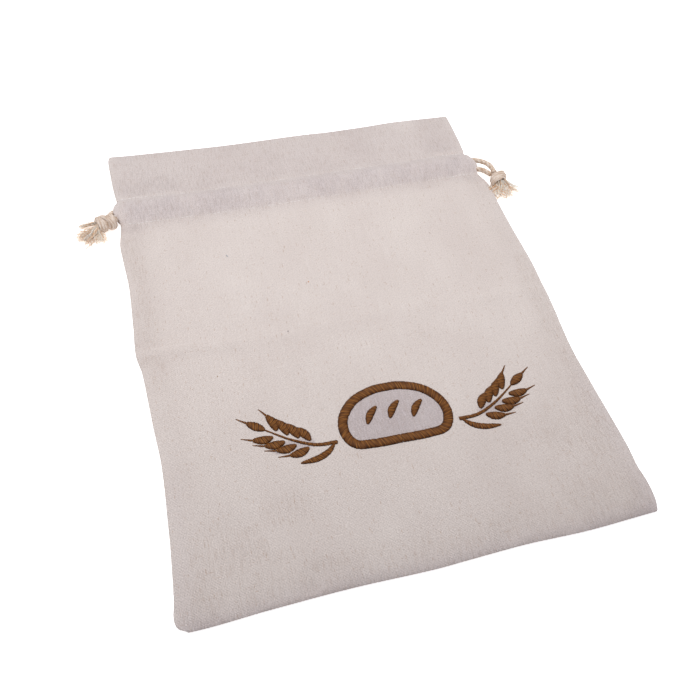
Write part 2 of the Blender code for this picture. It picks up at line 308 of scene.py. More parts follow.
def add_cord(bm, line, radius, lay):
    """Add a closed twisted cord along a line: a grid wrapped round it, with filled ends."""
    uv = bm.loops.layers.uv.verify()
    groove = find_layer(bm.verts.layers.float, "groove")
    sides = side_directions(line)
    last = len(line) - 1
    length = line_length(line)
    made = bmesh.ops.create_grid(
        bm, x_segments=CORD_SIDES, y_segments=last, size=0.5, calc_uvs=True
    )["verts"]
    for vert in made:
        for loop in vert.link_loops:
            loop[uv].uv.y *= length / (2 * math.pi * radius)
        corner, ring = grid_step(vert, CORD_SIDES, last)
        angle = 2 * math.pi * corner / CORD_SIDES
        vert[groove] = strand_groove(angle - 2 * math.pi * ring * length / last / lay)
        swell = 1 + UNEVENNESS * noise.noise(line[ring] / UNEVEN_LENGTH)
        reach = radius * swell * (CROWN_REACH - GROOVE_DEPTH * vert[groove])
        across, over = sides[ring]
        vert.co = line[ring] + (across * math.cos(angle) + over * math.sin(angle)) * reach
    bmesh.ops.remove_doubles(bm, verts=made, dist=WELD_GAP)
    rims = [edge for edge in bm.edges if edge.is_boundary]
    bmesh.ops.holes_fill(bm, edges=rims, sides=CORD_SIDES)


def mesh_from(name, bm):
    mesh = bpy.data.meshes.new(name)
    bm.to_mesh(mesh)
    bm.free()
    return mesh


def add_piece(name, bm, material):
    """A smooth-shaded piece made from a bmesh, riding on the bag's one body."""
    mesh = mesh_from(name, bm)
    mesh.shade_smooth()
    mesh.materials.append(material)
    piece = add_to_scene(name, mesh)
    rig.ride(piece, "root")
    return piece


def add_closed_piece(name, bm, material):
    """A piece made from closed shapes, whose faces are turned outwards first."""
    bmesh.ops.recalc_face_normals(bm, faces=bm.faces)
    if bm.calc_volume(signed=True) < 0:
        bmesh.ops.reverse_faces(bm, faces=bm.faces)
    return add_piece(name, bm, material)


def linear(colour):
    """Linear red, green, blue and alpha of an sRGB hex colour."""
    channels = [int(colour[start : start + 2], 16) / 255 for start in (1, 3, 5)]
    steps = [c / 12.92 if c <= 0.04045 else ((c + 0.055) / 1.055) ** 2.4 for c in channels]
    return (*steps, 1.0)


def new_finish(name):
    """An empty material for a finish, and the function that adds a node to it."""
    material = bpy.data.materials.new(name)
    material.use_nodes = True
    tree = material.node_tree
    tree.nodes.clear()

    def add(kind, inputs, output=0, ramp=(), **settings):
        """Add a node with its settings and links, and return one of its outputs. An input
        takes a value, or a socket to link from. A ramp is (position, colour) rising."""
        made = tree.nodes.new("ShaderNode" + kind)
        for setting, value in settings.items():
            setattr(made, setting, value)
        for socket, value in inputs.items():
            if isinstance(value, bpy.types.NodeSocket):
                tree.links.new(value, made.inputs[socket])
            else:
                made.inputs[socket].default_value = value
        stops = made.color_ramp.elements if ramp else ()
        while len(stops) < len(ramp):
            stops.new(0.5)
        for stop, (position, colour) in zip(stops, ramp):
            stop.position = position
            stop.color = linear(colour)
        return made.outputs[output] if made.outputs else None

    return material, add


def make_twisted_cotton(name, crowns, hollows):
    """Undyed cotton cord, spun and plied: matt, mottled on the crowns of its strands and
    browner down between them, with fine yarns lying at a slant and stray husk specks."""
    material, add = new_finish(name)
    uv = add("UVMap", {}, uv_map="UVMap")
    place = add("TexCoord", {}, "Object")
    depth = add("Attribute", {}, "Fac", attribute_name="groove")
    caught = add("Attribute", {}, "Fac", attribute_name="fleck")
    # Twelve yarns round the cord, each about 1 mm wide.
    slant = add("VectorMath", {0: uv, 1: (12, -7.5, 0)}, "Value", operation="DOT_PRODUCT")
    turns = add("Math", {0: slant, 1: 2 * math.pi}, operation="MULTIPLY")
    yarn = add("Math", {0: turns}, operation="SINE")
    # Fibres show as a grain of 0.7 mm, and the blotches of the yarn are 2.4 mm wide.
    fibre = add("TexNoise", {"Vector": place, "Scale": 1.4 / MM, "Detail": 3})
    blotch = add("TexNoise", {"Vector": place, "Scale": 0.42 / MM, "Detail": 2})
    colour = add("ValToRGB", {"Fac": blotch}, ramp=crowns)
    husk = add("MapRange", {"Value": fibre, "From Min": 0.63, "From Max": 0.70})
    for share, tone in ((depth, hollows), (husk, "#A98A6C"), (caught, "#23252E")):
        colour = add("Mix", {"Factor": share, 6: colour, 7: linear(tone)}, 2, data_type="RGBA")
    relief = add("Math", {0: fibre, 1: 1.6, 2: yarn}, operation="MULTIPLY_ADD")
    bump = add("Bump", {"Height": relief, "Distance": 0.12 * MM, "Strength": 0.8})
    shader = add(
        "BsdfPrincipled",
        {"Base Color": colour, "Roughness": 0.9, "Specular IOR Level": 0.2, "Normal": bump},
    )
    add("OutputMaterial", {"Surface": shader})
    return material


twisted_cotton = make_twisted_cotton(
    "twisted_cotton", [(0.32, "#B0917A"), (0.45, "#D0BBA8"), (0.62, "#E1D5CA")], "#BCA18A"
)
drawcords = {}
for cord_name, route in (
    ("drawcord_front", FRONT_CORD_ROUTE),
    ("drawcord_back", BACK_CORD_ROUTE),
):
    cord_line = smooth_line(route, CORD_STEP)
    bm = bmesh.new()
    add_cord(bm, cord_line, CORD_DIAMETER / 2, LAY_LENGTH)
    drawcord = add_closed_piece(cord_name + "_twist", bm, twisted_cotton)
    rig.replaces(drawcord, cord_name)
    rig.slot(drawcord, "cotton_cord")
    drawcords[cord_name] = (drawcord, cord_line)


# ---------------------------------------------------------------------------------------
# Knots. At each slot both cords are tied together in one overhand knot. The doubled cord
# is drawn tight, so it lies in fat, slightly flattened wraps with one more crossing them.

WRAP_STEP = 0.6 * MM
WRAP_PARTS = 32
WRAP_LAY = 30.0 * MM
TUCK_LENGTH = 0.10
TUCKED_REACH = 0.35
CORE_FULLNESS = 0.7


def table(columns, *rows):
    """The rows of a table, with names for its columns."""
    row_of = namedtuple("Row", columns)
    return [row_of(*row) for row in rows]


# A wrap goes once round the knot from underneath. Its middle is a way along the knot, its
# lean is how far it shifts along from one side to the other, and swell is how far it stands
# out past the others.
WRAP = "along lean radius swell"
KNOTS = table(
    "name middle heading half_length half_width half_height wraps",
    ("knot_left", (-159.3, 120.8, 6.2), 196, 7.6, 6.4, 5.9, table(
        WRAP,
        (-6.5, 0.2, 1.1, -1.9), (-5.3, -0.6, 1.2, -0.4), (-4.1, -1.4, 1.2, -0.3),
        (-3.1, -1.8, 1.0, -1.3), (-2.1, -3.1, 1.1, -1.3), (-0.9, -4.2, 1.3, 0.7),
        (0.4, -4.0, 1.2, 0.5), (1.4, -3.0, 1.1, -1.0), (2.5, -2.2, 1.0, -1.1),
        (3.5, -1.8, 1.2, 0.2), (4.7, -1.2, 1.3, 0.5), (6.0, -0.6, 1.2, -0.6),
    )),
    ("knot_right", (161.0, 106.2, 6.1), -98, 5.8, 7.2, 5.7, table(
        WRAP,
        (-4.4, -0.4, 1.2, -2.6), (-3.4, -2.2, 1.2, -1.0), (-2.2, -3.4, 1.3, 0.0),
        (-0.9, -4.0, 1.2, -0.3), (0.6, -4.4, 1.2, 0.2), (1.8, -4.2, 1.3, 0.5),
        (3.0, -3.2, 1.2, 0.0), (4.1, -1.8, 1.2, -0.7),
    )),
)

# A dark bit of seed husk is caught in the right knot.
HUSK_FLECK = (162.7, 102.0, 9.2)
HUSK_SIZE = 0.6


def soft_step(t):
    """0 up to 0, 1 from 1 on, and smooth between."""
    t = min(max(t, 0.0), 1.0)
    return t * t * (3 - 2 * t)


def fade_in(value, start, end):
    """0 on the near side of start, 1 past end, and smooth between."""
    return soft_step((value - start) / (end - start))


def wrap_route(knot, wrap, middle, turned):
    """Route of one wrap round the knot, its two ends tucked in underneath."""
    route = []
    for part in range(WRAP_PARTS + 1):
        t = part / WRAP_PARTS
        angle = 2 * math.pi * (t - 0.25)
        out = TUCKED_REACH + (1 - TUCKED_REACH) * soft_step(min(t, 1 - t) / TUCK_LENGTH)
        side = math.cos(angle)
        point = Vector((
            wrap.along + wrap.lean * side,
            (knot.half_width - wrap.radius + wrap.swell) * out * side,
            (knot.half_height - wrap.radius + wrap.swell) * out * math.sin(angle),
        ))
        route.append(middle + turned @ point * MM)
    return route


tight_cotton = make_twisted_cotton(
    "twisted_cotton_drawn_tight",
    [(0.30, "#C4AD9B"), (0.44, "#D4C5B8"), (0.72, "#DDCFC4")],
    "#B89D87",
)
knot_pieces = {}
for knot in KNOTS:
    middle = Vector(knot.middle) * MM
    turned = Matrix.Rotation(math.radians(knot.heading), 3, "Z")
    bm = bmesh.new()
    groove = bm.verts.layers.float.new("groove")
    fleck = bm.verts.layers.float.new("fleck")
    core = bmesh.ops.create_uvsphere(bm, u_segments=24, v_segments=16, radius=1.0)["verts"]
    size = Vector((knot.half_length, knot.half_width, knot.half_height)) * CORE_FULLNESS
    bmesh.ops.scale(bm, verts=core, vec=size * MM)
    bmesh.ops.rotate(bm, verts=core, matrix=turned)
    bmesh.ops.translate(bm, verts=core, vec=middle)
    for vert in core:
        vert[groove] = 1.0
    for wrap in knot.wraps:
        wrap_line = smooth_line(wrap_route(knot, wrap, middle, turned), WRAP_STEP)
        add_cord(bm, wrap_line, wrap.radius * MM, WRAP_LAY)
    for vert in bm.verts:
        away = (vert.co - Vector(HUSK_FLECK) * MM).length / (HUSK_SIZE * MM)
        vert[fleck] = max(0.0, 2.4 - away)
    tied = add_closed_piece(knot.name + "_wraps", bm, tight_cotton)
    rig.replaces(tied, knot.name)
    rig.slot(tied, "cotton_cord")
    knot_pieces[knot.name] = tied


# ---------------------------------------------------------------------------------------
# Tassels. Past each knot the cord's ends are left loose and have frayed into their yarns
# and fibres, which fan out and settle on the surface in locks.

YARN_RADIUS = 0.36
FIBRE_RADIUS = 0.13
FIBRE_POINTS = 16
FIBRE_REST = 0.4
FIBRE_LOWEST = 0.35
FIBRE_TAPER = 0.55

# A fibre leaves the knot's height at first fast and then slowly, and its arch starts a
# part of the way up.
SINK_POWER = 1.8
ARCH_START, ARCH_SPAN = 0.25, 0.85

# By how much single fibres differ from what their lock's table says.
BEND_SPREAD = 8
ROOT_SPREAD = 0.16
LENGTH_SHARES = (0.74, 1.03)
LIFT_SHARES = (0.1, 1.2)
WAVE_COUNTS = (0.8, 2.1)
ROOT_HEIGHTS = (-3.6, 1.6)

# Each lock leaves the knot's end at a side of it (from -1 to 1) and at an angle, and bends
# on by the end of its length. Its fibres spread out from it, stay up by its lift, and wave
# about it.
LOCK = "side angle bend length spread lift wave yarns fibres"
TASSELS = table(
    "name root width_heading width locks",
    ("tassel_left", (-165.2, 118.8, 6.6), -90, 2.7, table(
        LOCK,
        (-1.4, 156, 10, 16.5, 3, 3.6, 0.4, 20, 14), (-1.2, 160, 8, 16.0, 3, 3.0, 0.5, 10, 10),
        (-0.3, 186, -2, 19.0, 7, 2.2, 1.6, 5, 22), (-0.1, 193, 0, 20.0, 8, 2.2, 1.6, 6, 26),
        (0.1, 202, 2, 19.5, 8, 2.0, 1.6, 6, 26), (0.2, 211, 2, 18.5, 8, 2.0, 1.6, 6, 26),
        (0.4, 221, 2, 16.5, 9, 2.0, 1.6, 6, 26), (0.5, 232, 2, 15.0, 9, 2.0, 1.5, 5, 22),
        (0.4, 226, 24, 20.5, 3, 1.0, 1.0, 6, 10), (0.7, 246, 2, 13.0, 9, 1.8, 1.3, 4, 20),
        (0.9, 262, 6, 11.0, 9, 1.8, 1.3, 4, 18), (1.0, 280, 12, 9.0, 9, 1.8, 1.2, 3, 14),
        (0.9, 270, 26, 14.0, 4, 0.8, 0.9, 2, 6), (1.0, 290, 14, 14.0, 5, 0.8, 0.9, 2, 6),
    )),
    ("tassel_right", (160.6, 102.6, 7.8), 0, 4.4, table(
        LOCK,
        (-1.0, -146, 16, 9.5, 10, 2.4, 1.5, 6, 6), (-0.9, -128, 12, 12.5, 10, 2.4, 1.8, 7, 6),
        (-0.7, -114, 8, 14.5, 10, 2.4, 1.9, 8, 6), (-0.4, -104, 6, 16.0, 10, 2.4, 2.0, 8, 6),
        (-0.1, -95, 4, 16.5, 10, 2.4, 2.0, 8, 6), (0.2, -86, 4, 16.5, 10, 2.4, 2.0, 8, 6),
        (0.5, -76, 2, 15.0, 10, 2.4, 1.9, 7, 6), (0.7, -62, 4, 13.0, 10, 2.6, 1.6, 5, 6),
        (0.7, -80, 36, 19.0, 3, 2.6, 1.4, 6, 4), (0.9, -54, 34, 16.5, 3, 2.6, 0.8, 8, 4),
        (1.0, -24, 14, 16.5, 3, 3.0, 0.8, 7, 4), (0.9, -46, 6, 10.0, 9, 2.6, 1.2, 5, 6),
    )),
)


def fibre_route(tassel, lock, chance):
    """Points of one fibre of a lock, waving as it goes and sinking to the surface."""
    angle = math.radians(lock.angle + chance.gauss(0, lock.spread))
    bend = math.radians(lock.bend + chance.gauss(0, BEND_SPREAD))
    length = lock.length * chance.uniform(*LENGTH_SHARES)
    waves, start = chance.uniform(*WAVE_COUNTS), chance.uniform(0, 2 * math.pi)
    lift = lock.lift * chance.uniform(*LIFT_SHARES)
    across = math.radians(tassel.width_heading)
    side = Vector((math.cos(across), math.sin(across), 0))
    shift = lock.side + chance.gauss(0, ROOT_SPREAD)
    point = Vector(tassel.root) + side * tassel.width * shift
    height = point.z + chance.uniform(*ROOT_HEIGHTS)
    route = []
    for part in range(FIBRE_POINTS):
        t = part / (FIBRE_POINTS - 1)
        sway = lock.wave * math.sin(start + 2 * math.pi * waves * t) * soft_step(t * 2)
        heading = angle + bend * t
        along = Vector((math.cos(heading), math.sin(heading), 0))
        sink = (1 - t) ** SINK_POWER
        arched = math.sin(math.pi * min(1.0, ARCH_START + ARCH_SPAN * t))
        rest = FIBRE_REST + lift * arched
        z = height * sink + rest * (1 - sink)
        at = point + Vector((-along.y, along.x, 0)) * sway
        route.append(Vector((at.x, at.y, max(z, FIBRE_LOWEST))) * MM)
        point += along * length / (FIBRE_POINTS - 1)
    return route


def make_frayed_cotton():
    """Loose cotton fibres: matt, warm cream and letting some light through, each its own
    tone."""
    material, add = new_finish("frayed_cotton_fibre")
    each = add("NewGeometry", {}, "Random Per Island")
    tone = add(
        "ValToRGB", {"Fac": each},
        ramp=[(0.0, "#E6B582"), (0.34, "#FBE6CE"), (0.6, "#FFF6EA"), (1.0, "#FFFDF8")],
    )
    solid = add(
        "BsdfPrincipled",
        {"Base Color": tone, "Roughness": 0.85, "Specular IOR Level": 0.2},
    )
    through = add("BsdfTranslucent", {"Color": tone})
    both = add("MixShader", {"Fac": 0.28, 1: solid, 2: through})
    add("OutputMaterial", {"Surface": both})
    return material


frayed_cotton = make_frayed_cotton()
tassel_pieces = {}
for seed, tassel in enumerate(TASSELS):
    chance = random.Random(31 + seed)
    loose = bpy.data.curves.new(tassel.name, "CURVE")
    loose.dimensions = "3D"
    loose.bevel_depth = MM
    loose.bevel_resolution = 0
    loose.use_fill_caps = True
    for lock in tassel.locks:
        for thick in [YARN_RADIUS] * lock.yarns + [FIBRE_RADIUS] * lock.fibres:
            spline = loose.splines.new("POLY")
            spline.points.add(FIBRE_POINTS - 1)
            for index, at in enumerate(fibre_route(tassel, lock, chance)):
                spline.points[index].co = (*at, 1.0)
                spline.points[index].radius = thick * (1 - FIBRE_TAPER * index / FIBRE_POINTS)
    fan = bpy.data.objects.new(tassel.name, loose)
    bm = bmesh.new()
    bm.from_mesh(fan.to_mesh())
    bpy.data.objects.remove(fan)
    bmesh.ops.remove_doubles(bm, verts=bm.verts, dist=WELD_GAP / 2)
    frayed = add_closed_piece(tassel.name + "_fibres", bm, frayed_cotton)
    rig.replaces(frayed, tassel.name)
    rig.slot(frayed, "frayed_cotton")
    tassel_pieces[tassel.name] = frayed

for cord_name, ends in (
    ("drawcord_front", ("left", "right")),
    ("drawcord_back", ()),
):
    drawcord, cord_line = drawcords[cord_name]
    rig.cord(
        drawcord,
        exit=cord_line[0],
        length=line_length(cord_line),
        diameter=CORD_DIAMETER,
        far_end="knot",
        stiffness="limp",
        lay="loose",
        path=cord_line,
        with_pieces=[knot_pieces["knot_" + end] for end in ends]
        + [tassel_pieces["tassel_" + end] for end in ends],
    )


# ---------------------------------------------------------------------------------------
# Bag cloth. One length of plain-woven linen and cotton, folded at the bottom and seamed up
# both sides. Its ends are turned in at the mouth and stitched down in two rows, so that a
# header stands above a casing, whose two ends are left open as slots for the cords.

CLOTH_WIDTH = 300.0
CLOTH_THICKNESS = 0.65
LAYER_STEP = 1.0
BACK_OUTER = 0.35
BACK_HEM = BACK_OUTER + LAYER_STEP
FRONT_HEM = BACK_HEM + LAYER_STEP
FRONT_OUTER = FRONT_HEM + LAYER_STEP
HEADER_SEAM = (BACK_OUTER + FRONT_OUTER) / 2
BODY_SEAM = 1.05
HEM_INSET = 2.0
SLOT_HEM_INSET = 9.0
FOLD_RADIUS = LAYER_STEP / 2
FOLD_ANGLES = (-60, -30, 0, 30, 60)
BOTTOM_RISE = 13.0

# The lines that run across the bag, as Y at each station of X, from the left.
STATIONS = table(
    "x mouth upper_stitch lower_stitch bottom",
    (-150, 201.0, 146.0, 118.0, -201.2), (-130, 199.8, 144.8, 116.9, -201.4),
    (-100, 198.4, 143.8, 116.0, -200.2), (-50, 197.4, 143.5, 115.7, -199.4),
    (0, 198.0, 143.5, 116.4, -200.5), (18, 198.1, 143.6, 116.7, -200.1),
    (36, 197.3, 143.6, 117.0, -199.6), (60, 197.9, 143.8, 117.4, -199.2),
    (100, 199.5, 144.4, 118.0, -200.2), (148, 198.2, 146.0, 119.0, -198.9),
)
LINES = STATIONS[0]._fields[1:]

# The two side edges, as X at each Y, from the bottom up. The casing bulges between its two
# notches.
SIDES = table(
    "y left right",
    (-201, -143.0, 145.4), (-198, -148.2, 147.6), (-192, -149.5, 149.6), (-184, -148.2, 150.5),
    (-176, -147.6, 150.4), (-168, -147.0, 149.6), (-160, -146.5, 150.0), (-150, -145.8, 150.3),
    (-98, -144.3, 148.8), (-68, -146.0, 148.5), (-24, -148.1, 151.9), (-8, -150.8, 152.6),
    (15, -150.1, 153.6), (55, -149.2, 152.8), (85, -150.9, 152.9), (98, -151.6, 153.6),
    (107, -150.6, 152.8), (112, -149.7, 151.3), (118, -149.0, 148.5), (121, -149.1, 148.1),
    (124, -150.2, 149.2), (127, -151.9, 149.4), (130, -153.0, 148.8), (134, -152.4, 146.9),
    (137, -151.3, 145.8), (140, -150.0, 145.0), (143, -149.6, 144.8), (146, -149.4, 145.4),
    (150, -150.1, 146.4), (165, -151.3, 147.3), (195, -152.2, 147.8), (199, -151.9, 147.2),
    (201, -151.0, 145.7),
)

# A place counts the lines down the bag: 0 mouth, 1 upper stitch, 2 lower stitch, 3 bottom
# fold. These are the rough depths of the header, casing and body between them. At each
# place, the front has its height at the middle, the height of its side seam or slot edge,
# the rounding of that edge, and the width over which it rises from there.
HEADER_DEPTH = 56.0
CASING_DEPTH = 30.0
BODY_DEPTH = 311.0
FRONT = table(
    "place middle edge lip shoulder",
    (0.00, FRONT_OUTER, HEADER_SEAM, 1.5, 4), (0.78, FRONT_OUTER, HEADER_SEAM, 1.5, 4),
    (0.85, 3.45, HEADER_SEAM, 1.4, 4), (0.91, 3.7, HEADER_SEAM, 1.4, 4),
    (0.96, 4.05, HEADER_SEAM, 1.3, 4), (1.00, 4.45, HEADER_SEAM, 1.2, 4),
    (1.06, 5.1, 2.8, 0.8, 4), (1.12, 5.8, 4.3, 0.5, 4), (1.20, 6.9, 5.9, 0.4, 4),
    (1.30, 8.2, 7.2, 0.4, 4), (1.43, 8.7, 7.6, 0.4, 4), (1.57, 8.3, 7.1, 0.4, 4),
    (1.70, 7.6, 6.3, 0.4, 4), (1.80, 6.7, 5.0, 0.4, 4), (1.90, 5.4, 3.2, 0.5, 4),
    (2.00, 4.2, HEADER_SEAM, 0.9, 4), (2.02, 4.15, 1.60, 0.8, 5), (2.06, 4.3, 1.20, 0.7, 8),
    (2.12, 4.6, BODY_SEAM, 0.7, 11), (2.25, 4.9, BODY_SEAM, 0.7, 13),
    (2.60, 5.0, BODY_SEAM, 0.7, 13), (3.00, 5.0, BODY_SEAM, 0.7, 13),
)

# Heights of the turned hem's back and front. It humps over the cord in the back.
HEM = table(
    "place back front inset",
    (0.00, BACK_HEM, FRONT_HEM, HEM_INSET), (1.00, BACK_HEM, FRONT_HEM, HEM_INSET),
    (1.12, BACK_HEM, FRONT_HEM, SLOT_HEM_INSET), (1.50, BACK_HEM, 2.6, SLOT_HEM_INSET),
    (1.57, 2.4, 4.0, SLOT_HEM_INSET), (1.64, 4.9, 5.9, SLOT_HEM_INSET),
    (1.71, 5.8, 6.6, SLOT_HEM_INSET), (1.78, 4.9, 5.9, SLOT_HEM_INSET),
    (1.85, 2.4, 4.0, SLOT_HEM_INSET), (1.91, BACK_HEM, 2.6, SLOT_HEM_INSET),
    (1.96, BACK_HEM, FRONT_HEM, SLOT_HEM_INSET), (2.00, BACK_HEM, FRONT_HEM, HEM_INSET),
    (2.02, BACK_HEM, FRONT_HEM, HEM_INSET),
)
SLOT_TOP, SLOT_BOTTOM = 1.0, 2.0

# How far in from the sides the front lies loose, how far from them and from the bottom
# fold it is held, how far from a row of stitches it puckers, over how much of a place a row
# pulls it, and how much a row lifts the back.
LOOSE_REACH = 14.0
HELD_EDGE, HELD_FOLD = 2.5, 5
PUCKER_REACH = 5.0
PULL_REACH = 0.12
BROAD_PULL, NARROW_PULL = 0.05, 0.03
STITCH_LIFT = 0.5
STITCH_LIFT_REACH = 3.0

# Heights of the front's broad and small sags, and of its puckers at the stitches, across
# the casing and below it, where they fade down the body.
BROAD_SAG, SMALL_SAG = 0.5, 0.3
STITCH_PUCKER, CASING_PUCKER, BODY_PUCKER = 0.5, 0.28, 0.5
BODY_PUCKER_FADE = 22

# Columns and rows stand close together at an edge or a fold and even between.
EDGE_STEPS = (0, 0.1, 0.35, 0.7, 1.4, 2.6, 4.2, 6.2, 8.6, 11.2, 14.0)
MIDDLE_COLUMNS = 150


def rows_around(rows, value):
    """The table's rows on both sides of a value of its first column, with the rows next
    to them, and how far on between the middle two the value is, from 0 to 1."""
    value = min(max(value, rows[0][0]), rows[-1][0])
    above = 1
    while rows[above][0] < value:
        above += 1
    low, high = rows[above - 1], rows[above]
    near = [rows[max(above - 2, 0)], low, high, rows[min(above + 1, len(rows) - 1)]]
    return near, (value - low[0]) / (high[0] - low[0])


def read_smoothly(rows, column, value):
    """A table's column at a value of its first one, on a smooth curve through its rows."""
    near, t = rows_around(rows, value)
    return blend_points(*(getattr(row, column) for row in near), t)


def read_evenly(rows, value):
    """All a table's other columns at a value of its first one, on straight lines."""
    near, t = rows_around(rows, value)
    return [low * (1 - t) + high * t for low, high in zip(near[1][1:], near[2][1:])]


def line_y(place, x):
    """Y of a place down the bag, at X across it."""
    above = min(int(place), len(LINES) - 2)
    upper, lower = (read_smoothly(STATIONS, name, x) for name in LINES[above : above + 2])
    return upper + (lower - upper) * (place - above)


def place_of(x, y):
    """Place down the bag of a point on it."""
    lines = [read_smoothly(STATIONS, name, x) for name in LINES]
    above = 0 if y > lines[1] else 1 if y > lines[2] else 2
    return above + (lines[above] - y) / (lines[above] - lines[above + 1])


def arch(distance, lip):
    """Height of a rounded edge at a distance in from it: 0 at the edge, 1 past the lip."""
    left = 1 - min(distance / lip, 1.0)
    return math.sqrt(1 - left * left)


def rise(distance, shoulder):
    return 1 - math.exp(-distance / shoulder)


def bell(t):
    """1 at 0, and falling away smoothly on both sides to almost nothing at 2."""
    return math.exp(-(t**2))


# Soft shapes that the cloth has taken: a ridge or trough runs from one end to the other,
# with a width to either side. The fold across the middle passes through points of its own.
CREASE = "x1 y1 x2 y2 width height"
FOLD_POINTS = (
    (-151, -8, 1.0), (-122, -11, 0.9), (-88, -14.5, 0.7), (-48, -15.5, 0.5), (-17, -13.5, 0.4),
    (27, -10, 0.4), (60, -11, 0.4), (100, -13.5, 0.5), (152, -12.5, 0.5),
)
MIDDLE_FOLD = table(
    CREASE,
    *((*start[:2], *end[:2], 5, start[2]) for start, end in zip(FOLD_POINTS, FOLD_POINTS[1:])),
)
CREASES = MIDDLE_FOLD + table(
    CREASE,
    (-72, -199, -66, -187, 7, -1.0), (44, -199, 52, -188, 7, -0.9),
    (-116, -152, -108, -150, 12, -0.8), (120, 147.5, 142, 146.5, 1.6, -0.9),
    (122, 150.5, 138, 150, 2.2, 0.5), (-149, 144, -128, 160, 3.0, 0.5),
    (-149, 144, -134, 168, 3.0, 0.45), (-149, 142, -120, 150, 2.6, 0.45),
    (-150, 116, -126, 104, 4.0, -0.5), (146, 116, 128, 104, 4.0, -0.5),
)


def crease_height(crease, x, y):
    along = Vector((crease.x2 - crease.x1, crease.y2 - crease.y1))
    here = Vector((x - crease.x1, y - crease.y1))
    t = min(max(here.dot(along) / along.length_squared, 0.0), 1.0)
    return crease.height * bell((here - along * t).length / crease.width)


def wander(x, y, size, seed):
    """A smooth random height between about -1 and 1, with features of a size in mm."""
    return noise.noise(Vector((x / size, y / size, seed)))


def from_stitches(place):
    """Rough distances in mm from the upper and the lower row of stitches."""
    return abs(place - 1) * HEADER_DEPTH, abs(place - 2) * CASING_DEPTH


def give(place, x, y, distance):
    """What the front's own limpness adds to its height."""
    loose = soft_step(distance / LOOSE_REACH)
    height = BROAD_SAG * loose * wander(x, y, size=70, seed=1.5)
    height += SMALL_SAG * loose * wander(x, y, size=34, seed=7.5)
    height += sum(crease_height(crease, x, y) for crease in CREASES)
    # Stitching draws the cloth into small puckers that run up and down the bag.
    pull = sum(math.exp(-away / PUCKER_REACH) for away in from_stitches(place))
    height += pull * STITCH_PUCKER * wander(x, y / 6, size=4.2, seed=3.5)
    if 1 < place < 2:
        between = math.sin(math.pi * (place - 1))
        height += CASING_PUCKER * between * wander(x, y / 5, size=9, seed=5.5)
    elif place > 2:
        left = math.exp(-(place - 2) * BODY_PUCKER_FADE)
        height += BODY_PUCKER * left * wander(x, y / 5, size=10, seed=9.5)
    return height * soft_step(distance / HELD_EDGE)


def pulled(place, x):
    """A place shifted a little where stitching has pulled the cloth up or down."""
    pull = bell((place - 1) / PULL_REACH) + bell((place - 2) / PULL_REACH)
    broad = BROAD_PULL * wander(x, 0, size=6.5, seed=33.5)
    narrow = NARROW_PULL * wander(x, 0, size=2.8, seed=37.5)
    return place + pull * (broad + narrow)


def front_height(place, x, y, distance):
    """Height of the middle of the front cloth's thickness."""
    place = pulled(place, x)
    middle, edge, lip, shoulder = read_evenly(FRONT, place)
    bottom = (3 - place) * BODY_DEPTH
    height = edge + lip * arch(min(distance, bottom), lip)
    height += (middle - edge - lip) * rise(distance, shoulder) * rise(bottom, BOTTOM_RISE)
    return height + give(place, x, y, distance) * soft_step(bottom / HELD_FOLD)


def back_height(place, x, y, distance):
    """Height of the middle of the back cloth, which lies on the surface and is lifted a
    little by the rows of stitches."""
    if SLOT_TOP < place < SLOT_BOTTOM:
        inside = min(place - SLOT_TOP, SLOT_BOTTOM - place) * CASING_DEPTH
        return BACK_OUTER + STITCH_LIFT * math.exp(-inside / STITCH_LIFT_REACH)
    middle, edge, lip, shoulder = read_evenly(FRONT, place)
    bottom = (3 - place) * BODY_DEPTH
    drop = (edge - BACK_OUTER) * arch(min(distance, bottom), lip)
    stitched = STITCH_LIFT * math.exp(-min(from_stitches(place)) / STITCH_LIFT_REACH)
    return edge - drop + stitched * soft_step(distance / 2)


def columns(place, inset):
    """X of each column of a row, and its distance in from the nearer side edge."""
    left = read_smoothly(SIDES, "left", line_y(place, STATIONS[0].x)) + inset
    right = read_smoothly(SIDES, "right", line_y(place, STATIONS[-1].x)) - inset
    inner = EDGE_STEPS[-1]
    step = (right - left - 2 * inner) / MIDDLE_COLUMNS
    across = [left + offset for offset in EDGE_STEPS]
    across += [left + inner + step * count for count in range(1, MIDDLE_COLUMNS)]
    across += [right - offset for offset in reversed(EDGE_STEPS)]
    return [(x, min(x - left, right - x)) for x in across]


def outer_row(place, height_at):
    row = []
    for x, distance in columns(place, 0):
        y = line_y(place, x)
        row.append(Vector((x, y, height_at(place, x, y, distance))))
    return row


def hem_row(place, front):
    back_z, front_z, inset = read_evenly(HEM, place)
    middle = front_z if front else back_z
    open_end = SLOT_TOP < place < SLOT_BOTTOM
    edge = middle if open_end else (front_z + back_z) / 2
    return [
        Vector((x, line_y(place, x), edge + (middle - edge) * arch(distance, FOLD_RADIUS)))
        for x, distance in columns(place, inset)
    ]


def mouth_fold(outer, hem):
    """Rows of the rounded fold at the mouth, from a hem's first row to the outer's."""
    rows = []
    for angle in map(math.radians, FOLD_ANGLES):
        out = Vector((0, FOLD_RADIUS * math.cos(angle), 0))
        share = (1 + math.sin(angle)) / 2
        rows.append([low.lerp(high, share) + out for low, high in zip(hem, outer)])
    return rows


def spaced(*spans):
    """Places down the bag, each span (start, stop, count) in even steps."""
    return [
        start + (stop - start) * index / count
        for start, stop, count in spans
        for index in range(count)
    ]


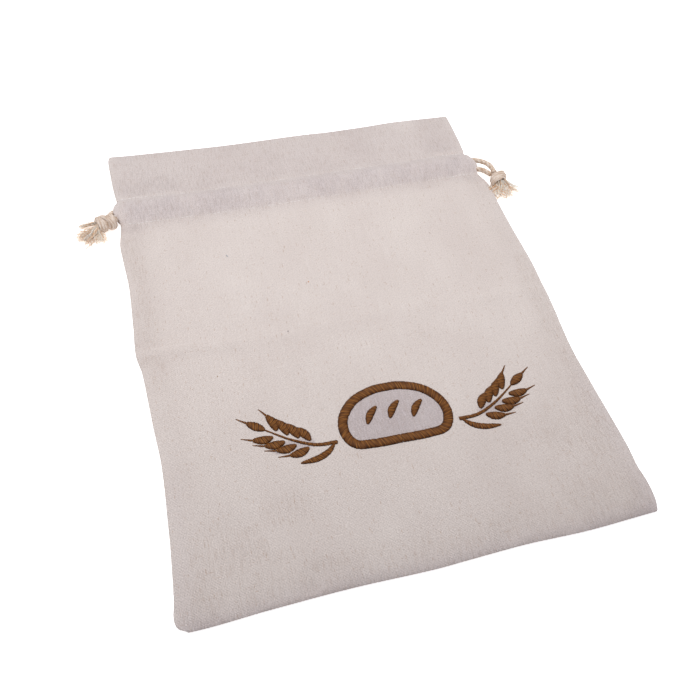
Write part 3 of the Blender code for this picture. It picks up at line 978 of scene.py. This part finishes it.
MOUTH_START = 0.009
BOTTOM_START = 3 - EDGE_STEPS[-1] / BODY_DEPTH
BOTTOM_PLACES = [3 - step / BODY_DEPTH for step in reversed(EDGE_STEPS)]
FRONT_PLACES = spaced(
    (MOUTH_START, 0.93, 21), (0.93, 1.07, 8), (1.07, 1.93, 25), (1.93, 2.04, 8),
    (2.04, BOTTOM_START, 136),
) + BOTTOM_PLACES
BACK_PLACES = spaced(
    (MOUTH_START, 0.93, 9), (0.93, 1.07, 6), (1.07, 1.93, 9), (1.93, 2.04, 6),
    (2.04, BOTTOM_START, 46),
) + BOTTOM_PLACES[:-1]
HEM_PLACES = spaced(
    (MOUTH_START, 0.97, 7), (0.97, 1.06, 3), (1.06, 1.94, 20), (1.94, 2.02, 3),
) + [2.02]


def strip_rows():
    """Rows of the whole length of cloth, from the front hem's edge to the back hem's."""
    front = [outer_row(place, front_height) for place in FRONT_PLACES]
    back = [outer_row(place, back_height) for place in BACK_PLACES]
    front_hem = [hem_row(place, True) for place in HEM_PLACES]
    back_hem = [hem_row(place, False) for place in HEM_PLACES]
    rows = front_hem[::-1] + mouth_fold(front[0], front_hem[0]) + front
    rows += back[::-1] + mouth_fold(back[0], back_hem[0])[::-1] + back_hem
    return rows


def mm_below(place):
    """Rough distance in mm down the bag from the upper stitch line."""
    if place < 1:
        return (place - 1) * HEADER_DEPTH
    if place < 2:
        return (place - 1) * CASING_DEPTH
    return CASING_DEPTH + (place - 2) * BODY_DEPTH


# How dull the cloth is at mm below the upper stitch line, from 0 to 1. Light comes back
# through its two layers from the white beneath, but not so well through the header's four
# layers, and least through the casing with the cords in it.
DULLNESS = table(
    "down amount",
    (-60, 0.24), (-12, 0.31), (-4, 0.29), (-1, 0.19), (4, 0.18), (9, 0.27), (13, 0.33),
    (18, 0.36), (24, 0.35), (28, 0.32), (32, 0.26), (37, 0.18), (42, 0.0),
)

# Soft clouds on the front where the layers below make the cloth duller, or brighter, and
# the patches that the embroidery holds down: the loaf's middle and the ears.
PATCH = "x y half_width half_height amount"
CLOUDS = table(
    PATCH,
    (-108, -162, 20, 16, 0.20), (-74, -142, 18, 16, 0.13), (108, -132, 18, 14, 0.11),
    (142, -48, 12, 34, 0.13), (-122, 158, 26, 16, 0.10), (35, 184, 14, 18, -0.11),
    (105, 194, 16, 10, -0.14), (-140, 30, 10, 14, 0.10), (140, 62, 14, 18, -0.09),
)
HELD_PATCHES = table(
    PATCH,
    (7.0, -94.3, 34, 19.6, 0.50), (-62, -104, 14, 5, 0.42), (76, -106, 14, 5, 0.42),
)

# A held patch is round above and squarer below, and ends just past its outline.
ROUND_ABOVE, SQUARE_BELOW = 2.2, 3.5
PATCH_END, PATCH_FADE = 1.04, 0.08

# How far the dullness wavers up and down, and by how much the rest adds to it or takes
# from it. The seam that the upper stitches lift shows for a width, here and there.
DULLNESS_WAVER = 2
CORD_MOTTLE, CORD_GRAIN = 0.09, 0.08
LIFTED_SEAM_LIGHT = 0.18
LIFTED_SEAM_WAVER, LIFTED_SEAM_WIDTH = 1.6, 2.2
LIFTED_SEAM_MIDDLE, LIFTED_SEAM_SPREAD = 0.1, 1.4
FOLD_LIGHT, FOLD_SHADE = 0.14, 0.05
FOLD_SHADE_BELOW = 7
LOW_SIDE_SHADE, HIGH_SIDE_SHADE = 0.06, 0.17
HIGH_RIGHT_LIGHT = 0.04
LOW_EDGE_LIGHT, HEADER_EDGE_LIGHT = 0.09, 0.16
BOTTOM_LINE_SHADE, BOTTOM_BAND_SHADE = 0.16, 0.14
LOW_BODY_SHADE, LOW_RIGHT_SHADE = 0.12, 0.09
MOTTLE = 0.05

# Warmth of the header's dullness, and how much cooler it is at the bottom fold and at the
# lower sides than in the rest of the body.
HEADER_WARMTH = 0.4
FOLD_COOLNESS, SIDE_COOLNESS = 0.6, 0.8


def held_down(x, y):
    """How much the embroidery holds the cloth down at a point."""
    amount = 0.0
    for patch in HELD_PATCHES:
        power = ROUND_ABOVE if y > patch.y else SQUARE_BELOW
        across = abs((x - patch.x) / patch.half_width) ** power
        reach = (across + abs((y - patch.y) / patch.half_height) ** power) ** (1 / power)
        amount += patch.amount * soft_step((PATCH_END - reach) / PATCH_FADE)
    return amount


def shade_of(place, x, y, distance):
    """How dull the front cloth is at a point, from 0 to 1. Each part is an amount times a
    shape, whose reach is in mm."""
    down = mm_below(place) + DULLNESS_WAVER * wander(x, 0, size=24, seed=2.5)
    down += DULLNESS_WAVER * wander(x, y / 3, size=8, seed=6.5)
    shade = read_evenly(DULLNESS, down)[0]
    over_cords = fade_in(mm_below(place), -4, 6) * fade_in(down, 34, 22)
    shade *= 1 - 0.5 * over_cords * bell(distance / 6)
    shade += over_cords * CORD_MOTTLE * wander(x, y / 2, size=13, seed=4.5)
    shade += over_cords * CORD_GRAIN * wander(x, y / 4, size=3.2, seed=14.5)
    # The edge that the upper row of stitches lifts is brighter here and there.
    seam = mm_below(pulled(place, x)) - 1
    seam += LIFTED_SEAM_WAVER * wander(x, 0, size=5, seed=44.5)
    patchy = LIFTED_SEAM_MIDDLE + LIFTED_SEAM_SPREAD * wander(x, y, size=2.6, seed=24.5)
    bright = bell(seam / LIFTED_SEAM_WIDTH) * patchy
    shade -= LIFTED_SEAM_LIGHT * max(bright, 0.0) * fade_in(x, 40, -80)
    # The fold across the middle catches light above and is duller below.
    for crease in MIDDLE_FOLD:
        shade -= FOLD_LIGHT * crease_height(crease, x, y) ** 2
        shade += FOLD_SHADE * crease_height(crease, x, y + FOLD_SHADE_BELOW)
    # The sides are duller a little way in, and the very edges and the mouth's are brighter.
    if place > 2:
        upper = fade_in(y, -80, -20)
        high = HIGH_SIDE_SHADE - HIGH_RIGHT_LIGHT * fade_in(x, 0, 100)
        amount = LOW_SIDE_SHADE + high * upper
        shade += amount * bell((distance - 9) / 11)
        shade -= LOW_EDGE_LIGHT * (1 - upper) * bell(distance / 6)
    elif place < 1:
        shade -= HEADER_EDGE_LIGHT * bell(distance / 4)
    bottom = (3 - place) * BODY_DEPTH
    shade += BOTTOM_LINE_SHADE * bell(bottom / 4) + BOTTOM_BAND_SHADE * bell(bottom / 22)
    for cloud in CLOUDS:
        reach = math.hypot((x - cloud.x) / cloud.half_width, (y - cloud.y) / cloud.half_height)
        shade += cloud.amount * bell(reach)
    shade += held_down(x, y)
    # Towards the bottom fold the bag's layers lie closer, and less light comes back.
    low = fade_in(y, -45, -135)
    shade += low * (LOW_BODY_SHADE + LOW_RIGHT_SHADE * fade_in(x, 60, 120))
    shade += MOTTLE * (wander(x, y, size=40, seed=8.5) + wander(x, y, size=15, seed=18.5))
    return min(max(shade, 0.0), 1.0)


def warmth_of(place, x, y, distance):
    """Whether the dullness is brown, 1, or greyer and cooler, 0."""
    if place < 1:
        return HEADER_WARMTH
    fold = bell((3 - place) * BODY_DEPTH / 9)
    side = bell(distance / 10) * fade_in(y, -70, -110)
    body = soft_step((place - 1.9) / 0.2)
    warmth = body * (1 - FOLD_COOLNESS * fold) * (1 - SIDE_COOLNESS * side)
    return warmth * (1 - soft_step(4 * held_down(x, y)))


def lay_cloth():
    """The cloth as one grid laid along the strip, welded where its edges are seamed. Its
    UV map is the flat cloth in metres, so that the weave follows every fold."""
    rows = strip_rows()
    centre = len(rows[0]) // 2
    runs = [0.0]
    for before, after in zip(rows, rows[1:]):
        runs.append(runs[-1] + (after[centre] - before[centre]).length)
    across, along = len(rows[0]) - 1, len(rows) - 1
    bm = bmesh.new()
    uv = bm.loops.layers.uv.new("flat_cloth")
    shade = bm.verts.layers.float.new("shade")
    warmth = bm.verts.layers.float.new("warmth")
    made = bmesh.ops.create_grid(bm, x_segments=across, y_segments=along, size=0.5)["verts"]
    for vert in made:
        column, row = grid_step(vert, across, along)
        point = rows[row][column]
        for loop in vert.link_loops:
            loop[uv].uv = Vector((point.x, runs[row])) * MM
        place = place_of(point.x, point.y)
        distance = min(point.x - rows[row][0].x, rows[row][-1].x - point.x)
        vert[shade] = shade_of(place, point.x, point.y, distance)
        vert[warmth] = warmth_of(place, point.x, point.y, distance)
        vert.co = point * MM
    bmesh.ops.remove_doubles(bm, verts=bm.verts, dist=WELD_GAP)
    return bm, runs[-1]


def threads(add, uv, pitch):
    """Relief of a plain weave with a thread pitch in mm: 0 in its gaps, 1 on its crowns."""
    scaled = add("VectorMath", {0: uv, "Scale": 1 / (pitch * MM)}, operation="SCALE")
    over = add(
        "TexChecker",
        {"Vector": scaled, "Scale": 1.0, "Color1": (1, 1, 1, 1), "Color2": (0, 0, 0, 1)}, "Fac",
    )
    split = add("SeparateXYZ", {0: scaled}).node
    crowns = []
    for axis in ("X", "Y"):
        turn = add("Math", {0: split.outputs[axis], 1: math.pi}, operation="MULTIPLY")
        swing = add("Math", {0: turn}, operation="SINE")
        crowns.append(add("Math", {0: swing}, operation="ABSOLUTE"))
    return add("Mix", {"Factor": over, 2: crowns[0], 3: crowns[1]})


def streaks(add, uv, across, along, detail=2):
    """Noise drawn out along the cloth, with its features' sizes in mm."""
    size = (1 / (across * MM), 1 / (along * MM), 1)
    stretched = add("VectorMath", {0: uv, 1: size}, operation="MULTIPLY")
    return add("TexNoise", {"Vector": stretched, "Scale": 1.0, "Detail": detail})


def laid_over(add, under, colour, mask, start, stop, strength):
    """A colour laid over another where a mask rises from start to stop."""
    amount = add(
        "MapRange",
        {"Value": mask, "From Min": start, "From Max": stop, "To Max": strength},
    )
    mixed = {"Factor": amount, 6: under, 7: linear(colour)}
    return add("Mix", mixed, 2, data_type="RGBA")


def make_linen_weave():
    """Unbleached linen and cotton in a plain weave: matt, pale grey-beige, with thicker
    slub yarns both ways and tan flecks of flax left in the yarn."""
    material, add = new_finish("linen_plain_weave")
    uv = add("UVMap", {}, uv_map="flat_cloth")
    dulled = add("Attribute", {}, "Fac", attribute_name="shade")
    warmth = add("Attribute", {}, "Fac", attribute_name="warmth")
    # The real threads are 0.6 mm apart. They are drawn at 0.9 mm, or they would not show.
    weave = threads(add, uv, 0.9)
    warp = streaks(add, uv, 0.9, 26)
    weft = streaks(add, uv, 22, 0.9)
    cloud = streaks(add, uv, 45, 70)
    colour = add("ValToRGB", {"Fac": cloud}, ramp=[(0.3, "#D2C6C0"), (0.7, "#D8CDC7")])
    for tone, mask, start, stop, strength in (
        ("#EDE6E1", warp, 0.55, 0.75, 0.14),
        ("#EDE6E1", weft, 0.58, 0.78, 0.14),
        ("#BBA896", warp, 0.45, 0.25, 0.10),
        ("#A07A56", streaks(add, uv, 0.8, 5.0, 1), 0.67, 0.74, 0.42),
        ("#A07A56", streaks(add, uv, 4.0, 0.8, 1), 0.69, 0.76, 0.40),
    ):
        colour = laid_over(add, colour, tone, mask, start, stop, strength)
    dull_tone = add("ValToRGB", {"Fac": warmth}, ramp=[(0, "#968CA6"), (1, "#9A8A84")])
    amount = add("Math", {0: dulled, 1: 0.42}, operation="MULTIPLY")
    colour = add("Mix", {"Factor": amount, 6: colour, 7: dull_tone}, 2, data_type="RGBA")
    # Brown yarns show as fine upright lines where two or more layers lie close.
    layered = add("MapRange", {"Value": dulled, "From Min": 0.05, "From Max": 0.2})
    for tone, yarn, where, start, stop, strength in (
        ("#9A7C66", streaks(add, uv, 0.8, 10, 1), layered, 0.5, 0.66, 0.15),
        ("#8A7A72", streaks(add, uv, 1.0, 7), dulled, 0.15, 0.28, 0.23),
    ):
        mask = add("Math", {0: yarn, 1: where}, operation="MULTIPLY")
        colour = laid_over(add, colour, tone, mask, start, stop, strength)
    # Twist in the yarns makes faint diagonal lines, one for every two threads.
    slope = (2 * math.pi / (1.7 * MM), 2 * math.pi / (-1.9 * MM), 0)
    slant = add("VectorMath", {0: uv, 1: slope}, "Value", operation="DOT_PRODUCT")
    twill = add("Math", {0: slant}, operation="SINE")
    grain = streaks(add, uv, 0.9, 1.1, 1)
    relief = weave
    for height, share in ((grain, 1.6), (twill, 0.20)):
        relief = add("Math", {0: height, 1: share, 2: relief}, operation="MULTIPLY_ADD")
    gaps = add(
        "MapRange",
        {"Value": relief, "From Min": 0.5, "From Max": 1.9, "To Min": 0.80, "To Max": 1.06},
    )
    # Single threads differ in tone, and more of them show where the cloth is doubled.
    speck = streaks(add, uv, 0.8, 0.95, 1)
    offset = add("Math", {0: speck, 1: -0.5}, operation="ADD")
    spread = add("Math", {0: dulled, 1: 0.42, 2: 0.33}, operation="MULTIPLY_ADD")
    tone = add("Math", {0: offset, 1: spread, 2: gaps}, operation="MULTIPLY_ADD")
    shaded = add("VectorMath", {0: colour, "Scale": tone}, operation="SCALE")
    slub = add("Math", {0: warp, 1: 0.8, 2: relief}, operation="MULTIPLY_ADD")
    bump = add("Bump", {"Height": slub, "Distance": 0.10 * MM, "Strength": 1.0})
    shader = add(
        "BsdfPrincipled",
        {
            "Base Color": shaded,
            "Roughness": 0.95,
            "Specular IOR Level": 0.1,
            "Sheen Weight": 0.1,
            "Normal": bump,
        },
    )
    add("OutputMaterial", {"Surface": shader})
    return material


linen_weave = make_linen_weave()
bm, strip_length = lay_cloth()
bag = add_piece("bag_cloth_woven", bm, linen_weave)
bulk = bag.modifiers.new("cloth_thickness", "SOLIDIFY")
bulk.thickness = CLOTH_THICKNESS * MM
bulk.offset = 0.0
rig.replaces(bag, "bag_cloth")
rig.slot(bag, "linen_cloth")


# ---------------------------------------------------------------------------------------
# Top-stitching. Two rows of lockstitch in off-white thread hold the turned hem down, above
# and below the casing, on the front and on the back.

STITCH_PITCH = 3.1
STITCH_LENGTH = 2.5
THREAD_RADIUS = 0.20
SEW_INSET = 2.5
STITCH_WANDER = 0.12
STITCH_TURN = 0.05
FRONT_PROUD, BACK_PROUD = 0.05, 0.04

# Away from the bag's sides the thread has pulled down into the cloth, and hardly shows.
SHOWN_AT_ENDS = 18.0
SUNK_BY = 48.0
LEAST_SUNK, SUNK, MORE_SUNK = 0.02, 0.12, 0.20


def make_sewing_thread():
    """Two-ply polyester and cotton sewing thread: off-white, with a slight shine."""
    material, add = new_finish("sewing_thread")
    place = add("TexCoord", {}, "Object")
    # The plies show as a grain of 0.4 mm.
    ply = add("TexNoise", {"Vector": place, "Scale": 2.5 / MM})
    tone = add("ValToRGB", {"Fac": ply}, ramp=[(0.35, "#DAD5D3"), (0.65, "#EFEBE9")])
    shader = add("BsdfPrincipled", {"Base Color": tone, "Roughness": 0.6})
    add("OutputMaterial", {"Surface": shader})
    return material


def stitch_mesh():
    """One stitch: a thread that arches out of the cloth and back, along X."""
    bm = bmesh.new()
    bmesh.ops.create_uvsphere(bm, u_segments=6, v_segments=6, radius=1.0)
    bmesh.ops.rotate(bm, verts=bm.verts, matrix=Matrix.Rotation(math.pi / 2, 3, "Y"))
    size = Vector((STITCH_LENGTH / 2, THREAD_RADIUS, THREAD_RADIUS)) * MM
    bmesh.ops.scale(bm, verts=bm.verts, vec=size)
    return mesh_from("stitch", bm)


def add_copy(bm, mesh, matrix):
    """Add a mesh to a bmesh with a place of its own."""
    copy = mesh.copy()
    copy.transform(matrix)
    bm.from_mesh(copy)
    bpy.data.meshes.remove(copy)


sewing_thread = make_sewing_thread()
one_stitch = stitch_mesh()
bm = bmesh.new()
chance = random.Random(5)
for place in (1, 2):
    ends = columns(place, SEW_INSET)
    left_x, right_x = ends[0][0], ends[-1][0]
    count = int((right_x - left_x) / STITCH_PITCH)
    for number in range(count):
        x = left_x + (number + 0.5) * (right_x - left_x) / count
        y = line_y(place, x) + chance.gauss(0, STITCH_WANDER)
        distance = min(x - left_x, right_x - x) + SEW_INSET
        slope = math.atan2(line_y(place, x + 1) - line_y(place, x - 1), 2)
        turn = Matrix.Rotation(slope + chance.gauss(0, STITCH_TURN), 4, "Z")
        middle = soft_step((distance - SHOWN_AT_ENDS) / (SUNK_BY - SHOWN_AT_ENDS))
        uneven = MORE_SUNK * soft_step(0.5 + 2.0 * wander(x, y, size=7, seed=30.5))
        sunk = LEAST_SUNK + (SUNK + uneven) * middle
        top = front_height(place, x, y, distance) + CLOTH_THICKNESS / 2 + FRONT_PROUD - sunk
        under = back_height(place, x, y, distance) - CLOTH_THICKNESS / 2 - BACK_PROUD
        for z in (top, under):
            add_copy(bm, one_stitch, Matrix.Translation(Vector((x, y, z)) * MM) @ turn)
stitching = add_closed_piece("casing_stitching", bm, sewing_thread)
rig.slot(stitching, "sewing_thread")


# ---------------------------------------------------------------------------------------
# Embroidery. A loaf between two wheat ears, machine-worked in satin stitch with glossy
# brown rayon thread. Each stroke, grain and stem is one column of threads laid side by side
# over padding, so it stands up from the cloth and its long edges are a little ragged.

# The real threads are 0.4 mm apart. They are drawn at 0.8 mm, or they would not show.
THREAD_PITCH = 0.8
ROWS_PER_THREAD = 4
COLUMN_SIDES = 12
RAGGED = 0.14
THREAD_SLANT = 0.45
PADDED_WIDTH = 2.4
UNDERSIDE = 0.3
MOTIF_X, MOTIF_Y = 7.0, -94.0
MOTIF_TILT = -1.3


def make_rayon_satin():
    """Rayon embroidery thread laid in satin stitch: brown, with a silky shine. Each thread
    has a tone of its own, and the column is darker where it turns down to the cloth."""
    material, add = new_finish("rayon_satin_stitch")
    along = add("UVMap", {}, uv_map="threads")
    crown = add("Attribute", {}, "Fac", attribute_name="crown")
    stretched = add("VectorMath", {0: along, 1: (0.3, 0.95, 1)}, operation="MULTIPLY")
    each = add("TexNoise", {"Vector": stretched, "Scale": 1.0, "Detail": 1})
    lit = add("Math", {0: crown, 1: 0.22, 2: each}, operation="MULTIPLY_ADD")
    tone = add(
        "ValToRGB", {"Fac": lit},
        ramp=[(0.36, "#241204"), (0.54, "#4B290E"), (0.70, "#6A3F1A"), (0.86, "#9A662F")],
    )
    count = add("SeparateXYZ", {0: along}, "Y")
    turn = add("Math", {0: count, 1: 2 * math.pi}, operation="MULTIPLY")
    rounded = add("Math", {0: turn}, operation="SINE")
    bump = add("Bump", {"Height": rounded, "Distance": 0.12 * MM, "Strength": 1.0})
    shader = add(
        "BsdfPrincipled",
        {"Base Color": tone, "Roughness": 0.4, "Specular IOR Level": 0.2, "Normal": bump},
    )
    add("OutputMaterial", {"Surface": shader})
    return material


def front_top(x, y):
    """Height of the front's upper face at a point of the body."""
    left = read_smoothly(SIDES, "left", y)
    right = read_smoothly(SIDES, "right", y)
    distance = min(x - left, right - x)
    return front_height(place_of(x, y), x, y, distance) + CLOTH_THICKNESS / 2


def add_column(bm, route, width_at, height, chance):
    """Add one satin column along a route, as wide as width_at says from 0 to 1 of it. Its
    UV map counts the threads along it and runs from -1 to 1 across it."""
    uv = find_layer(bm.loops.layers.uv, "threads")
    crown = find_layer(bm.verts.layers.float, "crown")
    line = smooth_line(route, THREAD_PITCH / ROWS_PER_THREAD)
    last = len(line) - 1
    made = bmesh.ops.create_grid(bm, x_segments=COLUMN_SIDES, y_segments=last, size=0.5)["verts"]
    teeth = [[chance.gauss(0, RAGGED) for ring in range(last + 1)] for side in (0, 1)]
    tilt = Matrix.Rotation(math.radians(MOTIF_TILT), 2)
    for vert in made:
        corner, ring = grid_step(vert, COLUMN_SIDES, last)
        angle = 2 * math.pi * corner / COLUMN_SIDES
        ahead = way_ahead(line, ring)
        across = Vector((-ahead.y, ahead.x))
        tooth = teeth[math.cos(angle) > 0][ring]
        half = max(width_at(ring / last) / 2, 0.0)
        ragged = half + tooth * min(1.0, half) if 0 < ring < last else 0.0
        slanted = ring / ROWS_PER_THREAD + THREAD_SLANT * half * math.cos(angle) / THREAD_PITCH
        for loop in vert.link_loops:
            loop[uv].uv = (math.cos(angle), slanted)
        vert[crown] = math.sin(angle)
        at = tilt @ (line[ring] + across * ragged * math.cos(angle))
        at += Vector((MOTIF_X, MOTIF_Y))
        raised = height * min(1.0, 2 * half / PADDED_WIDTH) * math.sin(angle)
        if raised < 0:
            raised *= UNDERSIDE
        vert.co = Vector((*at, front_top(*at) + raised)) * MM
    bmesh.ops.remove_doubles(bm, verts=made, dist=WELD_GAP)


# Half of the loaf's outline, from the middle of its base round to the middle of its top.
LOAF_HALF = ((0, -20.5), (18, -20.5), (30, -18.5), (35, -9), (33, 3), (24, 13.5), (11, 19), (0, 20))
LOAF_STROKE, LOAF_HEIGHT = 6.6, 1.1
SCORES = (
    ((-19, -6), (-15.5, 1), (-10, 6.5)),
    ((-3.5, -4.5), (0, 2.5), (5.5, 8)),
    ((12, -6.5), (15.5, 0.5), (21, 5.5)),
)
SCORE_STROKE, SCORE_HEIGHT = 5.2, 1.0
STALK = ((41, -14.5), (55, -13.5), (70, -6.5), (85, 4.0))
STALK_STROKE, STALK_HEIGHT = 3.0, 0.8
LEAF = ((43, -15), (48, -20), (56, -23.5), (67, -24.5))
LEAF_STROKE, LEAF_HEIGHT = 4.6, 0.9
GRAIN_STROKE, GRAIN_HEIGHT = 6.2, 1.1
GRAIN_LENGTH = 13.5
GRAIN_FOOT = 2.6
GRAIN_SPLAY = 34
GRAIN_PAIRS = 4

# How far a grain's foot, belly and awn turn out, as shares of its splay.
FOOT_TURN, BELLY_TURN, AWN_TURN = 2.4, 1.25, 0.5

EAR_START, EAR_END = 0.36, 0.99
AWN_LENGTH = 7.5
AWN_STROKE, AWN_HEIGHT = 1.7, 0.5

# How blunt a pointed stroke's ends are and how fast it swells, and how much a tapered one
# has narrowed by its end.
BLUNTNESS = 0.04
SWELL_POWER = 0.7
TAPER = 0.65


def heading_vector(degrees):
    return Vector((math.cos(math.radians(degrees)), math.sin(math.radians(degrees))))


def even_width(width):
    """A stroke of one width with squared ends."""
    return lambda t: width


def pointed_width(width):
    """A stroke that swells to a width and comes to a point at both ends."""
    inner = 1 - 2 * BLUNTNESS
    return lambda t: width * math.sin(math.pi * (BLUNTNESS + inner * t)) ** SWELL_POWER


def tapered_width(width):
    """A stroke that narrows to a third of its width."""
    return lambda t: width * (1 - TAPER * t)


def mirrored(points, hand):
    return [Vector((x * hand, y)) for x, y in points]


def add_ear(bm, hand, chance):
    """Add one wheat ear. hand is 1 for the right one and -1 for the left."""
    add_column(bm, mirrored(STALK, hand), tapered_width(STALK_STROKE), STALK_HEIGHT, chance)
    add_column(bm, mirrored(LEAF, hand), pointed_width(LEAF_STROKE), LEAF_HEIGHT, chance)
    stalk = smooth_line(mirrored(STALK, 1), 0.5)
    for pair in range(GRAIN_PAIRS + 1):
        share = EAR_START + (EAR_END - EAR_START) * pair / GRAIN_PAIRS
        index = round(share * (len(stalk) - 1))
        ahead = stalk[index] - stalk[index - 1]
        course = math.degrees(math.atan2(ahead.y, ahead.x))
        for turn in (0,) if pair == GRAIN_PAIRS else (GRAIN_SPLAY, -GRAIN_SPLAY):
            out = heading_vector(course + turn * FOOT_TURN) * (GRAIN_FOOT if turn else 0)
            foot = stalk[index] + out
            belly = foot + heading_vector(course + turn * BELLY_TURN) * GRAIN_LENGTH * 0.5
            tip = foot + heading_vector(course + turn) * GRAIN_LENGTH
            grain = mirrored((foot, belly, tip), hand)
            add_column(bm, grain, pointed_width(GRAIN_STROKE), GRAIN_HEIGHT, chance)
            end = tip + heading_vector(course + turn * AWN_TURN) * AWN_LENGTH
            awn = mirrored((tip, end), hand)
            add_column(bm, awn, tapered_width(AWN_STROKE), AWN_HEIGHT, chance)


rayon_satin = make_rayon_satin()
chance = random.Random(17)
bm = bmesh.new()
loaf = mirrored(LOAF_HALF, 1) + mirrored(LOAF_HALF[-2::-1], -1)
add_column(bm, loaf, even_width(LOAF_STROKE), LOAF_HEIGHT, chance)
for score in SCORES:
    add_column(bm, mirrored(score, 1), pointed_width(SCORE_STROKE), SCORE_HEIGHT, chance)
for hand in (-1, 1):
    add_ear(bm, hand, chance)
motif = add_closed_piece("embroidered_motif", bm, rayon_satin)
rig.slot(motif, "brown_embroidery")


# ---------------------------------------------------------------------------------------
# Stray fibres. A few short coloured fibres were spun into the yarn and lie in the weave.
# They are flat, and hardly thicker than the cloth's own threads.

STRAY_HEIGHT = 0.2
STRAYS = table(
    "x y heading length width colour",
    (-46, -14, 80, 1.5, 0.7, "#57504F"),
    (-21, 29, 40, 1.4, 1.0, "#B98055"),
    (-75, 68, 110, 3.0, 0.7, "#8A939A"),
    (-32, 118, 20, 1.2, 0.8, "#6E6A6C"),
    (84, 58, 100, 1.6, 0.6, "#8C6A55"),
    (-100, -40, 70, 1.3, 0.6, "#8A6B4E"),
)


def make_stray_fibre(colour):
    """A dyed or unbleached fibre, matt."""
    material, add = new_finish("stray_fibre")
    shader = add("BsdfPrincipled", {"Base Color": linear(colour), "Roughness": 0.9})
    add("OutputMaterial", {"Surface": shader})
    return material


strays = []
for number, stray in enumerate(STRAYS):
    bm = bmesh.new()
    bmesh.ops.create_uvsphere(bm, u_segments=8, v_segments=6, radius=0.5 * MM)
    bmesh.ops.scale(bm, verts=bm.verts, vec=(stray.length, stray.width, STRAY_HEIGHT))
    turn = Matrix.Rotation(math.radians(stray.heading), 3, "Z")
    bmesh.ops.rotate(bm, verts=bm.verts, matrix=turn)
    place = Vector((stray.x, stray.y, front_top(stray.x, stray.y))) * MM
    bmesh.ops.translate(bm, verts=bm.verts, vec=place)
    fibre = add_closed_piece("stray_fibre_%d" % number, bm, make_stray_fibre(stray.colour))
    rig.slot(fibre, "linen_cloth")
    strays.append(fibre)

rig.sheet(
    bag,
    flat=(CLOTH_WIDTH * MM, strip_length * MM),
    held="laid",
    with_pieces=[stitching, motif, *strays],
)


# ---------------------------------------------------------------------------------------
# Floor and light. A white sheet of opal acrylic, lit from beneath a little so that shadows
# on it stay pale. A long softbox hangs over the middle of the bag, and an even, cool light
# comes from all round.

FLOOR_SIZE = 4.0
FLOOR_DROP = 0.3 * MM
SOFTBOX_SIZE = (1.3, 0.4)
SOFTBOX_PLACE = (-0.04, 0.09, 0.55)
SOFTBOX_POWER = 4.6
ROOM_COLOUR = "#F1F3FA"
ROOM_STRENGTH = 0.42

white_acrylic, add = new_finish("white_acrylic")
shader = add(
    "BsdfPrincipled",
    {
        "Base Color": (0.9, 0.9, 0.9, 1),
        "Roughness": 0.9,
        "Specular IOR Level": 0.1,
        "Emission Color": (1, 1, 1, 1),
        "Emission Strength": 0.6,
    },
)
add("OutputMaterial", {"Surface": shader})
bm = bmesh.new()
bmesh.ops.create_grid(bm, x_segments=1, y_segments=1, size=FLOOR_SIZE / 2)
bmesh.ops.translate(bm, verts=bm.verts, vec=(0, 0, -FLOOR_DROP))
floor = add_to_scene("floor", mesh_from("floor", bm))
floor.data.materials.append(white_acrylic)
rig.stage(floor)

softbox = add_to_scene("softbox", bpy.data.lights.new("softbox", "AREA"))
softbox.data.shape = "RECTANGLE"
softbox.data.size, softbox.data.size_y = SOFTBOX_SIZE
softbox.data.energy = SOFTBOX_POWER
softbox.location = SOFTBOX_PLACE

world = bpy.data.worlds.new("soft_room")
world.use_nodes = True
room = world.node_tree.nodes["Background"]
room.inputs["Color"].default_value = linear(ROOM_COLOUR)
room.inputs["Strength"].default_value = ROOM_STRENGTH
bpy.context.scene.world = world
bpy.context.scene.view_settings.view_transform = "Standard"


# ---------------------------------------------------------------------------------------
# Sizes. The box of the solids and the box of the finished pieces, to be compared.

with open("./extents.json", "w") as sizes:
    boxes = {"cad": cad_box, "visual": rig.bounds()}
    json.dump({name: [list(corner) for corner in box] for name, box in boxes.items()}, sizes)
